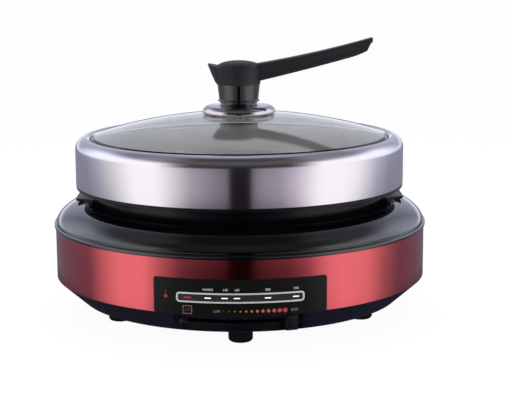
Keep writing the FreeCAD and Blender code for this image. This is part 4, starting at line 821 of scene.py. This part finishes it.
class HOTPOT_OT_band(bpy.types.Operator):
    """Dress the lacquered band and the glossy cover above it"""

    bl_idname = "hotpot.band"
    bl_label = "Band and cover"

    def execute(self, context):
        sizes = context.scene.pot_forms
        band_sheet = 2 * MM
        ledge_depth = 16 * MM
        lining_gap = 3.5 * MM
        radius = outer("red_band")
        low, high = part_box("power_inlet")
        levels = (foot_of("red_band"), low.z, high.z, top_of("red_band"))
        inside = radius - band_sheet
        outline = [(radius, level) for level in levels] + [(inside, level) for level in reversed(levels)]
        band = lathe("lacquered_band", outline, opening=(low, high))
        settle(band, "base", "red_lacquer", ["red_band"])
        bead = outer("upper_cover")
        band_radius = bead - sizes.bead_proud
        foot, crest = foot_of("upper_cover"), top_of("upper_cover")
        bead_top = foot + sizes.bead_height
        crown = band_radius - sizes.crown_inset
        groove = sizes.crown_groove
        crown_foot = bead_top + groove
        well = sizes.well_radius
        ledge = crest - ledge_depth
        inner = well + sizes.cover_wall
        lining = band_radius - lining_gap
        outline = rounded([
            (lining, foot, 0),
            (bead, foot, 1.0 * MM),
            (bead, bead_top, 1.9 * MM),
            (crown - groove, bead_top, 0.2 * MM),
            (crown - groove, crown_foot, 0.2 * MM),
            (crown, crown_foot, 0.5 * MM),
            *shoulder(well, crown_foot, crown - well, crest - crown_foot, flatter=0.35),
            (well, ledge, 0.5 * MM),
            (well - sizes.well_ledge, ledge, 0.5 * MM),
            (well - sizes.well_ledge, ledge - sizes.cover_wall, 0),
            (inner, ledge - sizes.cover_wall, 0),
            (inner, crest - sizes.cover_wall, 0),
            (lining, bead_top, 0),
        ])
        cover = lathe("glossy_crown", outline)
        settle(cover, "base", "gloss_black", ["upper_cover"])
        return {"FINISHED"}


class HOTPOT_OT_panel(bpy.types.Operator):
    """Dress the control panel with its window, marks, digits and heat scale"""

    bl_idname = "hotpot.panel"
    bl_label = "Control panel"

    def execute(self, context):
        prints = context.scene.pot_prints
        low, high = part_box("control_panel")
        panel_radius = -low.y
        window_low, window_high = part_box("scale_window")
        window_radius = -window_low.y
        middle = (window_low.z + window_high.z) / 2
        plate = smooth_copy("control_panel", "panel_plate")
        settle(plate, "base", "panel_black", ["control_panel"])
        rim = smooth_copy("window_rim", "bright_window_rim")
        settle(rim, "base", "rim_silver", ["window_rim"])
        window = smooth_copy("scale_window", "smoked_window")
        settle(window, "base", "window_black", ["scale_window"])
        lamp = smooth_copy("pilot_lamp", "pilot_lens")
        settle(lamp, "base", "red_lens", ["pilot_lamp"])

        mark_wide, mark_tall, mark_corner = 5.8 * MM, 1.0 * MM, 0.3 * MM
        mark_angles = (-8.9, -4.27, -0.91, 7.52, 15.35)
        for number, angle in enumerate(mark_angles, start=1):
            bar = wrapped(
                f"scale_mark_{number}", [box_outline(mark_wide, mark_tall, mark_corner)],
                math.radians(angle), middle, window_radius,
            )
            settle(bar, "base", "mark_white")
        label_rise = 3.5 * MM
        labels = (("WARM", -8.9), ("140", -4.1), ("160", -0.95), ("200", 7.5), ("250", 15.4))
        for text, angle in labels:
            digits = lettering(
                f"scale_digits_{text}", text, prints.digit_height,
                math.radians(angle), window_high.z + label_rise, panel_radius,
            )
            settle(digits, "base", "print_white")

        dot_level = low.z + 4.0 * MM
        dots = grown(
            "heat_dots", dot_row_tree(),
            count=prints.dot_count, radius=panel_radius + MARK_LIFT / 2,
            start=prints.dot_start - math.pi / 2, sweep=prints.dot_end - prints.dot_start,
            level=dot_level, smallest=prints.dot_small, largest=prints.dot_large,
            thickness=MARK_LIFT, material=finish_named("print_white"),
        )
        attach(dots, "base")
        dots.data.materials.clear()
        first, last = (panel_radius * math.sin(angle) for angle in (prints.dot_start, prints.dot_end))
        dots.data.materials.append(warm_scale("Warm scale ink", first, last))

        word_tall, word_level = 2.6 * MM, low.z + 2.7 * MM
        for word, angle in (("LOW", -6.5), ("HIGH", 14.95)):
            sign = lettering(
                f"scale_word_{word.lower()}", word, word_tall,
                math.radians(angle), word_level, panel_radius, narrow=0.72,
            )
            settle(sign, "base", "print_grey")

        square, square_level = math.radians(-14.65), low.z + 4.6 * MM
        square_wide, square_tall, square_line = 8.6 * MM, 7.6 * MM, 0.4 * MM
        border = wrapped(
            "rest_frame", frame_outlines(square_wide, square_tall, square_line),
            square, square_level, panel_radius,
        )
        settle(border, "base", "print_grey")
        rest_tall = 2.7 * MM
        inside = lettering(
            "rest_word", "OFF", rest_tall, square, square_level - rest_tall / 2, panel_radius, narrow=0.8
        )
        settle(inside, "base", "mark_red")

        sensor = math.radians(-20.9)
        bulb_radius, bulb_drop = 1.65 * MM, 0.2 * MM
        tube_wide, tube_tall, tube_rise = 0.9 * MM, 4.0 * MM, 3.6 * MM
        # The bulb is a print in the lens's red, with its faint painted glow
        bulb = wrapped(
            "thermometer_bulb", [disc_outline(bulb_radius)], sensor, middle - bulb_drop, panel_radius
        )
        settle(bulb, "base", "red_lens")
        tube = wrapped(
            "thermometer_tube", [box_outline(tube_wide, tube_tall, tube_wide / 2)],
            sensor, middle + tube_rise, panel_radius,
        )
        settle(tube, "base", "tube_grey")
        return {"FINISHED"}


class HOTPOT_OT_heater(bpy.types.Operator):
    """Dress the heat dish, the element, the thermostat, the wires and the inlet"""

    bl_idname = "hotpot.heater"
    bl_label = "Heater and inlet"

    def execute(self, context):
        dish = smooth_copy("heat_dish", "bright_dish")
        settle(dish, "base", "steel", ["heat_dish"])
        element = smooth_copy("heating_element", "sheathed_element", sharp=40)
        settle(element, "base", "element_sheath", ["heating_element"])
        cap = smooth_copy("sensor_cap", "sensor_button")
        settle(cap, "sensor", "steel", ["sensor_cap"])
        for node in ("tie_columns", "tie_nuts", "element_brackets", "inlet_screws"):
            paint(node, "steel")
        for node in ("terminal_bushes", "thermal_fuse"):
            paint(node, "ceramic")
        for node in ("element_leads", "inlet_pins"):
            paint(node, "brass")
        paint("thermostat_body", "stat_plastic")
        paint("wire_harness", "wire_sleeve")
        paint("power_inlet", "black_plastic")

        foot, height = foot_of("sensor_spring"), top_of("sensor_spring") - foot_of("sensor_spring")
        wire, turns, press = 0.45 * MM, 5.0, 3 * MM
        coil = grown(
            "sensor_coil", coil_tree(),
            foot=foot + wire, height=height - 2 * wire, radius=outer("sensor_spring") - wire,
            wire=wire, turns=turns, material=finish_named("steel"),
        )
        settle(coil, "base", "steel", ["sensor_spring"])
        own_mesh(coil)
        return {"FINISHED"}


class HOTPOT_OT_pan(bpy.types.Operator):
    """Dress the pan, its ears and its rivets"""

    bl_idname = "hotpot.pan"
    bl_label = "Pan"

    def execute(self, context):
        sizes = context.scene.pot_forms
        foot, crest, rim = foot_of("pan"), top_of("pan"), outer("pan")
        seat = foot_of("lid_skirt")
        mouth = rim - sizes.pan_rim
        slope = math.tan(math.radians(4))
        wall, bottom, bowl = 2.5 * MM, 3 * MM, 12 * MM
        under, ledge = seat - 3.4 * MM, seat - 1.3 * MM
        step = rim - 1.1 * MM
        outline = rounded([
            (0, foot, 0),
            (mouth + wall - (crest - foot) * slope, foot, bowl),
            (mouth + wall - (crest - under) * slope, under, 0.5 * MM),
            (rim, under, 0.8 * MM),
            (rim, ledge, 0.8 * MM),
            (step, ledge, 0.2 * MM),
            (step, crest, 0.5 * MM),
            (mouth, crest, 1.0 * MM),
            (mouth - (crest - foot - bottom) * slope, foot + bottom, bowl),
            (0, foot + bottom, 0),
        ])
        pan = lathe("coated_pan", outline)
        settle(pan, "pan", "pan_coating", ["pan"])
        pan.data.materials.append(finish_named("pan_lining"))
        for face in pan.data.polygons:
            inwards = face.normal.x * face.center.x + face.normal.y * face.center.y < -0.2 * mouth
            floor = face.normal.z > 0.5 and face.center.z < crest - 20 * MM
            face.material_index = int(inwards or floor)
        grip_start, grip_reach, narrowing = 150 * MM, 18 * MM, 0.4
        for side in ("left", "right"):
            ear = smooth_copy(f"pan_ear_{side}", f"pan_grip_{side}")
            for vert in ear.data.vertices:
                beyond = max(0.0, abs(vert.co.x) - grip_start) / grip_reach
                vert.co.y *= 1 - narrowing * beyond
            settle(ear, "pan", "ear_black", [f"pan_ear_{side}"])
        rivets = smooth_copy("ear_rivets", "pan_rivets")
        settle(rivets, "pan", "steel", ["ear_rivets"])
        return {"FINISHED"}


class HOTPOT_OT_lid(bpy.types.Operator):
    """Turn the lid's steel skirt and its glass dome"""

    bl_idname = "hotpot.lid"
    bl_label = "Lid"

    def execute(self, context):
        sizes = context.scene.pot_forms
        radius, foot, crest = outer("lid_skirt"), foot_of("lid_skirt"), top_of("lid_skirt")
        sheet, bend_radius = sizes.skirt_sheet, sizes.skirt_shoulder
        glass_radius, glass_foot, apex = outer("lid_glass"), foot_of("lid_glass"), top_of("lid_glass")
        seat = foot_of("lid_gasket")
        inner = glass_radius + 0.3 * MM
        mouth_top = crest - 1.8 * MM
        flange = inner - 6 * MM
        flat = radius - bend_radius
        halfway = (bend_radius - sheet) * math.sqrt(0.5)
        outline = rounded([
            (radius - sheet, foot, 0.2 * MM),
            (radius, foot, 0.2 * MM),
            *shoulder(flat, crest - bend_radius, bend_radius, bend_radius),
            (inner, mouth_top, 0.8 * MM),
            (inner, seat, 0),
            (flange, seat, 0),
            (flange, seat - sheet, 0),
            (inner + sheet, seat - sheet, 0.4 * MM),
            (inner + sheet, mouth_top - sheet, 0.6 * MM),
            (flat, crest - sheet, 3 * MM),
            (flat + halfway, crest - bend_radius + halfway, 3 * MM),
            (radius - sheet, crest - bend_radius, 0),
        ])
        skirt = lathe("brushed_skirt", outline)
        settle(skirt, "lid", "stainless", ["lid_skirt"])

        edge, edge_tall = 2.8 * MM, 3 * MM
        dome = glass_radius - edge
        rise = sizes.glass_rise
        ball = (dome * dome + rise * rise) / (2 * rise)
        wall = sizes.glass_wall
        hole = 5 * MM

        def level(curve, across):
            return apex - ball + math.sqrt(curve * curve - across * across)

        steps = 90
        outside = [dome + (hole - dome) * step / steps for step in range(steps + 1)]
        inside = [hole + (dome - wall / 2 - hole) * step / steps for step in range(steps + 1)]
        # The last corner only gives the first one its direction, and is dropped
        outline = rounded([
            (glass_radius, glass_foot, 0.6 * MM),
            (glass_radius, glass_foot + edge_tall, 1.2 * MM),
            (dome, level(ball, dome), 0),
            (0, 0, 0),
        ])[:-1]
        outline += [(across, level(ball, across)) for across in outside[1:]]
        outline += [(across, level(ball - wall, across)) for across in inside]
        glass = lathe("glass_dome", outline)
        settle(glass, "lid", "clear_glass", ["lid_glass"])
        paint("lid_gasket", "silicone")
        paint("knob_seal", "silicone")
        paint("knob_washer", "steel")
        paint("knob_bolt", "steel")
        return {"FINISHED"}


class HOTPOT_OT_knob(bpy.types.Operator):
    """Turn the chrome plate, the collar and the domed cap of the knob"""

    bl_idname = "hotpot.knob"
    bl_label = "Knob"

    def execute(self, context):
        sizes = context.scene.pot_forms
        radius, foot, crest = outer("knob_plate"), foot_of("knob_plate"), top_of("knob_plate")
        edge = sizes.plate_edge
        neck = 19 * MM
        bore = 2.6 * MM
        hollow = 1.3 * MM
        rim_wide = 3 * MM
        shoulder_foot = foot + 1.7 * MM
        outline = rounded([
            (bore, foot + hollow, 0),
            (radius - rim_wide, foot + hollow, 0),
            (radius - rim_wide, foot, 0),
            (radius - 0.9 * MM, foot, 0.3 * MM),
            (radius, shoulder_foot, 0.8 * MM),
            *shoulder(radius - edge, shoulder_foot, edge, edge),
            (neck + 2 * MM, shoulder_foot + edge, 0.8 * MM),
            (neck, crest, 0),
            (bore, crest, 0),
        ])
        plate = lathe("chrome_plate", outline, sharp=50)
        settle(plate, "lid", "chrome", ["knob_plate"])

        radius, foot, crest = outer("knob_collar"), foot_of("knob_collar"), top_of("knob_collar")
        stem, ring, waist = radius - 3.0 * MM, radius - 0.5 * MM, radius - 1.7 * MM
        outline = rounded([
            (bore, foot, 0),
            (stem, foot, 0.3 * MM),
            (stem, foot + 2.8 * MM, 0.3 * MM),
            (ring, foot + 3.0 * MM, 0.6 * MM),
            (ring, foot + 4.6 * MM, 0.6 * MM),
            (waist, foot + 4.9 * MM, 0.3 * MM),
            (radius, crest, 0),
            (bore, crest, 0),
        ])
        collar = lathe("gloss_collar", outline)
        settle(collar, "lid", "gloss_black", ["knob_collar"])

        radius, foot, crest = outer("handle_cap"), foot_of("handle_cap"), top_of("handle_cap")
        rise, steps = 6.2 * MM, 20
        outline = [(0.0, foot), (radius, foot)] + [
            (radius * math.cos(turn), crest - rise + rise * math.sin(turn))
            for turn in (math.radians(90 * step / steps) for step in range(steps + 1))
        ]
        cap = lathe("domed_cap", outline, sharp=60)
        settle(cap, "lid", "matt_black", ["handle_cap"])
        return {"FINISHED"}


class HOTPOT_OT_handle(bpy.types.Operator):
    """Mould the handle's head with its lip, and its long arm"""

    bl_idname = "hotpot.handle"
    bl_label = "Handle"

    def execute(self, context):
        sizes = context.scene.pot_forms
        foot = foot_of("lid_handle")
        rim = foot + sizes.head_tall
        form = bmesh.new()
        self.head(form, sizes, foot, rim)
        self.arm(form, rim)
        handle = new_piece("long_handle", form, sharp=45)
        settle(handle, "lid", "matt_black", ["lid_handle"])
        return {"FINISHED"}

    def head(self, form, sizes, foot, rim):
        """Cup drawn out to a lip on the -X side."""
        sides = 128
        flank, edge, dish = 9, 12, 19  # last rows of the flank, of its rounded edge and of the dished top
        edge_radius, edge_step = 0.5 * MM, 0.2 * MM
        socket_depth = 3 * MM
        collar = outer("knob_collar") + 0.3 * MM
        socket = outer("handle_cap") + 0.1 * MM
        rings = []
        for row in range(dish + 2):
            ring = []
            for side in range(sides):
                turn = math.tau * side / sides
                share = ((1 - math.cos(turn)) / 2) ** 3
                top = rim + sizes.lip_rise * ((1 - math.cos(turn)) / 2) ** 7
                reach = sizes.head_rim + (sizes.lip_reach - sizes.head_rim - 0.2 * MM) * share
                start = collar + 0.3 * MM * share
                crest = reach - edge_radius - edge_step * (edge - flank)
                if row <= flank:
                    up = row / flank
                    away = start + (reach - start) * up ** (1.15 - 0.35 * share)
                    level = foot + (top - edge_radius - foot) * up
                elif row <= edge:
                    bend_angle = math.radians(90 * (row - flank) / (edge - flank))
                    away = reach - edge_radius * (1 - math.cos(bend_angle)) - edge_step * (row - flank)
                    level = top - edge_radius + edge_radius * math.sin(bend_angle)
                elif row <= dish:
                    fall = (row - edge) / (dish - edge)
                    away = crest + (socket - crest) * fall
                    level = top + (rim - 0.2 * MM - top) * fall ** 2.2
                else:
                    away = socket
                    level = rim - socket_depth
                ring.append(form.verts.new((away * math.cos(turn), away * math.sin(turn), level)))
            rings.append(ring)
        self.skin(form, rings)

    def arm(self, form, rim):
        """Long arm that curves up to a slanted end, with a shallow hollow along each side."""
        stations, sides = 56, 48
        end_sizes = (1.0, 0.965, 0.9, 0.78, 0.4)
        end_steps = (0.0, 0.5, 0.85, 1.05, 1.1)
        start, reach = 15.5 * MM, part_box("lid_handle")[1].x
        tip = reach - end_steps[-1] * MM
        root_drop, tip_rise, sag = 5.3 * MM, 22.8 * MM, 5.4 * MM
        slant, slant_start = 6.0 * MM, 0.82
        squareness, groove, groove_edge, groove_fade = 0.42, 0.8 * MM, 0.62, 0.1
        rings = []
        for station in range(stations + len(end_sizes)):
            share = min(station / stations, 1.0)
            shrink = end_sizes[max(0, station - stations)]
            beyond = end_steps[max(0, station - stations)] * MM
            along = start + (tip - start) * share + beyond
            line = tip_rise * share - root_drop * (1 - share)
            middle = rim + line - sag * share * (1 - share)
            wide = (23 - 6 * share) * MM / 2 * shrink
            tall = (14.2 + 4.4 * (1 - share) ** 2) * MM / 2 * shrink
            lean = slant * max(0.0, (share - slant_start) / (1 - slant_start)) ** 1.5
            fade = min(1.0, share / groove_fade) * min(1.0, (1 - share) / groove_fade)
            ring = []
            for side in range(sides):
                turn = math.tau * side / sides
                across, up = math.cos(turn), math.sin(turn)
                across = math.copysign(abs(across) ** squareness, across)
                up = math.copysign(abs(up) ** squareness, up)
                hollow = groove * max(0.0, 1 - (up / groove_edge) ** 2) * fade
                side_place = across * wide - math.copysign(hollow, across) * (abs(across) > 0.9)
                slide = lean * (up - 1) / 2
                ring.append(form.verts.new((along + slide, side_place, middle + up * tall)))
            rings.append(ring)
        self.skin(form, rings)

    def skin(self, form, rings):
        """Join rings into a closed skin."""
        faces = []
        for ring, following in zip(rings, rings[1:]):
            count = len(ring)
            for side in range(count):
                later = (side + 1) % count
                faces.append(form.faces.new((ring[side], ring[later], following[later], following[side])))
        faces.append(form.faces.new(rings[0]))
        faces.append(form.faces.new(rings[-1]))
        bmesh.ops.recalc_face_normals(form, faces=faces)


class HOTPOT_OT_stage(bpy.types.Operator):
    """Set the floor, the soft lights and the camera"""

    bl_idname = "hotpot.stage"
    bl_label = "Studio"

    def execute(self, context):
        scene = context.scene
        scene.view_settings.view_transform = "Standard"
        self.world(scene)
        self.floor()
        self.lights()
        self.camera(scene)
        return {"FINISHED"}

    def place(self, tree, vector):
        """Bearing from the front, distance from the axis and height of a point or direction."""
        parts = tree.nodes.new("ShaderNodeSeparateXYZ")
        link(tree, vector, parts.inputs[0])
        across, deep, height = parts.outputs
        bearing = math_node(tree, "ARCTAN2", across, math_node(tree, "MULTIPLY", deep, -1.0))
        squares = [math_node(tree, "POWER", part, 2) for part in (across, deep)]
        away = math_node(tree, "SQRT", math_node(tree, "ADD", *squares))
        return bearing, away, height

    def seen(self, tree, rays):
        """Share of the rays that come from the camera, straight or through glass."""
        return math_node(tree, "MAXIMUM", rays.outputs["Is Camera Ray"], rays.outputs["Is Transmission Ray"])

    def cards(self, tree, bearing, stops):
        """Colour of the studio's cards by their bearing, as metal, gloss and glass show them."""
        share = math_node(tree, "ADD", math_node(tree, "DIVIDE", bearing, math.tau), 0.5)
        ramp = tree.nodes.new("ShaderNodeValToRGB")
        marks = ramp.color_ramp.elements
        while len(marks) > 1:
            marks.remove(marks[-1])
        for index, (angle, level) in enumerate(stops):
            mark = marks[0] if index == 0 else marks.new(angle / 360 + 0.5)
            mark.position = angle / 360 + 0.5
            tint = MAUVE if abs(angle) <= FRONT_BEARING else COOL if abs(angle) >= REAR_BEARING else PLAIN
            mark.color = (*(level * part for part in tint), 1)
        link(tree, share, ramp.inputs["Fac"])
        return ramp.outputs["Color"]

    def blend(self, tree, value, start, end, low, high):
        """Go from one colour to another as a value rises."""
        spread = tree.nodes.new("ShaderNodeMapRange")
        spread.interpolation_type = "SMOOTHSTEP"
        spread.inputs["From Min"].default_value = start
        spread.inputs["From Max"].default_value = end
        mix = tree.nodes.new("ShaderNodeMix")
        mix.data_type = "RGBA"
        link(tree, value, spread.inputs["Value"])
        link(tree, spread.outputs["Result"], mix.inputs["Factor"])
        for side, colour in (("A", low), ("B", high)):
            socket = next(item for item in mix.inputs if item.name == side and item.type == "RGBA")
            if isinstance(colour, tuple):
                socket.default_value = (*colour, 1)
            else:
                link(tree, colour, socket)
        return next(item for item in mix.outputs if item.type == "RGBA")

    def world(self, scene):
        """White studio for the camera, with cards for reflections."""
        world = bpy.data.worlds.new("Studio")
        scene.world = world
        world.use_nodes = True
        tree = world.node_tree
        tree.nodes.clear()
        around = tree.nodes.new("ShaderNodeTexCoord")
        bearing, _, height = self.place(tree, around.outputs["Generated"])
        horizon = self.cards(tree, bearing, HORIZON_CARDS)
        low = self.cards(tree, bearing, LOW_CARDS)
        high = self.cards(tree, bearing, HIGH_CARDS)
        colour = self.blend(tree, height, *HORIZON_TO_LOW, horizon, low)
        colour = self.blend(tree, height, *LOW_TO_HIGH, colour, high)
        colour = self.blend(tree, height, *HIGH_TO_TOP, colour, TOP_COLOUR)
        cards = tree.nodes.new("ShaderNodeBackground")
        link(tree, colour, cards.inputs["Color"])
        soft = tree.nodes.new("ShaderNodeBackground")
        soft.inputs["Color"].default_value = (0.95, 0.96, 1.0, 1)
        soft.inputs["Strength"].default_value = 0.8
        white = tree.nodes.new("ShaderNodeBackground")
        white.inputs["Color"].default_value = (1, 1, 1, 1)
        rays = tree.nodes.new("ShaderNodeLightPath")
        glossy = tree.nodes.new("ShaderNodeMixShader")
        link(tree, rays.outputs["Is Glossy Ray"], glossy.inputs["Fac"])
        link(tree, soft.outputs[0], glossy.inputs[1])
        link(tree, cards.outputs[0], glossy.inputs[2])
        direct = tree.nodes.new("ShaderNodeMixShader")
        link(tree, self.seen(tree, rays), direct.inputs["Fac"])
        link(tree, glossy.outputs[0], direct.inputs[1])
        link(tree, white.outputs[0], direct.inputs[2])
        output = tree.nodes.new("ShaderNodeOutputWorld")
        link(tree, direct.outputs[0], output.inputs["Surface"])

    def floor(self):
        """Pale floor that keeps a faint shadow, and in reflections has a painted shadow close under the pot.
        """
        floor_width = 60
        shadow_kept = 0.955
        least_reach = 0.1
        bpy.ops.mesh.primitive_plane_add(size=floor_width, location=(0, 0, 0))
        floor = bpy.context.object
        floor.name = "studio_floor"
        material = bpy.data.materials.new("Pale floor")
        material.use_nodes = True
        tree = material.node_tree
        tree.nodes.clear()
        matt = tree.nodes.new("ShaderNodeBsdfDiffuse")
        matt.inputs["Color"].default_value = (0.9, 0.9, 0.9, 1)
        white = tree.nodes.new("ShaderNodeEmission")
        white.inputs["Color"].default_value = (1, 1, 1, 1)
        around = tree.nodes.new("ShaderNodeTexCoord")
        bearing, away, _ = self.place(tree, around.outputs["Object"])
        # A card near the pot is met at a smaller bearing than the one its reflection leaves at
        twice = math_node(tree, "MULTIPLY", away, 2)
        beyond = math_node(tree, "SUBTRACT", twice, outer("red_band"))
        reach = math_node(tree, "MAXIMUM", beyond, least_reach)
        widened = math_node(tree, "DIVIDE", math_node(tree, "MULTIPLY", bearing, twice), reach)
        near = self.cards(tree, widened, NEAR_CARDS)
        far = self.cards(tree, widened, FAR_CARDS)
        # Painted shadow: in reflections the floor is dark close under the pot
        colour = self.blend(tree, away, *UNDER_TO_NEAR, UNDER_SHADOW_COLOUR, near)
        colour = self.blend(tree, away, *NEAR_TO_FAR, colour, far)
        cards = tree.nodes.new("ShaderNodeEmission")
        link(tree, colour, cards.inputs["Color"])
        rays = tree.nodes.new("ShaderNodeLightPath")
        share = math_node(tree, "MULTIPLY", self.seen(tree, rays), shadow_kept)
        bright = tree.nodes.new("ShaderNodeMixShader")
        link(tree, share, bright.inputs["Fac"])
        link(tree, matt.outputs[0], bright.inputs[1])
        link(tree, white.outputs[0], bright.inputs[2])
        mirrored = tree.nodes.new("ShaderNodeMixShader")
        link(tree, rays.outputs["Is Glossy Ray"], mirrored.inputs["Fac"])
        link(tree, bright.outputs[0], mirrored.inputs[1])
        link(tree, cards.outputs[0], mirrored.inputs[2])
        output = tree.nodes.new("ShaderNodeOutputMaterial")
        link(tree, mirrored.outputs[0], output.inputs["Surface"])
        floor.data.materials.append(material)

    def lights(self):
        """Two side softboxes and one overhead, each as (name, place, width, depth, watts)."""
        aim = Vector((0, 0, 0.12))
        boxes = (
            ("left_softbox", (-1.15, -0.75, 0.75), 0.9, 0.9, 9),
            ("right_softbox", (1.15, -0.75, 0.75), 0.9, 0.9, 9),
            ("top_softbox", (0.0, 0.35, 1.35), 1.1, 0.7, 12),
        )
        for name, place, wide, deep, power in boxes:
            data = bpy.data.lights.new(name, "AREA")
            data.shape = "RECTANGLE"
            data.size, data.size_y = wide, deep
            data.energy = power
            lamp = bpy.data.objects.new(name, data)
            lamp.location = place
            lamp.rotation_euler = (aim - Vector(place)).to_track_quat("-Z", "Y").to_euler()
            lamp.visible_glossy = False
            bpy.context.scene.collection.objects.link(lamp)

    def camera(self, scene):
        """Camera at the reference's height, distance and tilt."""
        stage = scene.pot_stage
        data = bpy.data.cameras.new("front_camera")
        data.sensor_fit = "HORIZONTAL"
        data.angle = stage.view_angle
        data.shift_x = stage.shift
        data.clip_start = 0.05
        camera = bpy.data.objects.new("front_camera", data)
        place = Matrix.Translation((0, -stage.distance, stage.height))
        tilt = Matrix.Rotation(math.pi / 2 - stage.pitch, 4, "X")
        camera.matrix_world = place @ tilt @ Matrix.Rotation(-stage.roll, 4, "Z")
        scene.collection.objects.link(camera)
        scene.camera = camera


class HOTPOT_PT_tools(bpy.types.Panel):
    """Buttons that dress the pot"""

    bl_idname = "HOTPOT_PT_tools"
    bl_label = "Hot pot"
    bl_space_type = "VIEW_3D"
    bl_region_type = "UI"
    bl_category = "Hot pot"

    def draw(self, context):
        for operator in OPERATORS:
            self.layout.operator(operator.bl_idname)
        for settings in (context.scene.pot_finishes, context.scene.pot_stage):
            for name in settings.__annotations__:
                self.layout.prop(settings, name)


OPERATORS = (
    HOTPOT_OT_housing,
    HOTPOT_OT_band,
    HOTPOT_OT_panel,
    HOTPOT_OT_heater,
    HOTPOT_OT_pan,
    HOTPOT_OT_lid,
    HOTPOT_OT_knob,
    HOTPOT_OT_handle,
    HOTPOT_OT_stage,
)
SETTINGS = {
    "pot_finishes": FinishSettings,
    "pot_forms": FormSettings,
    "pot_prints": PrintSettings,
    "pot_stage": StageSettings,
}


def register():
    """Register the settings, the operators and the panel."""
    for name, group in SETTINGS.items():
        bpy.utils.register_class(group)
        setattr(bpy.types.Scene, name, PointerProperty(type=group))
    for item in (*OPERATORS, HOTPOT_PT_tools):
        bpy.utils.register_class(item)


def unregister():
    """Take everything out again."""
    for item in reversed((*OPERATORS, HOTPOT_PT_tools)):
        bpy.utils.unregister_class(item)
    for name, group in SETTINGS.items():
        delattr(bpy.types.Scene, name)
        bpy.utils.unregister_class(group)


def main():
    """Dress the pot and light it."""
    register()
    for operator in OPERATORS:
        name = operator.bl_idname.split(".")[1]
        getattr(bpy.ops.hotpot, name)()
    bpy.context.view_layer.update()


if __name__ == "__main__":
    main()
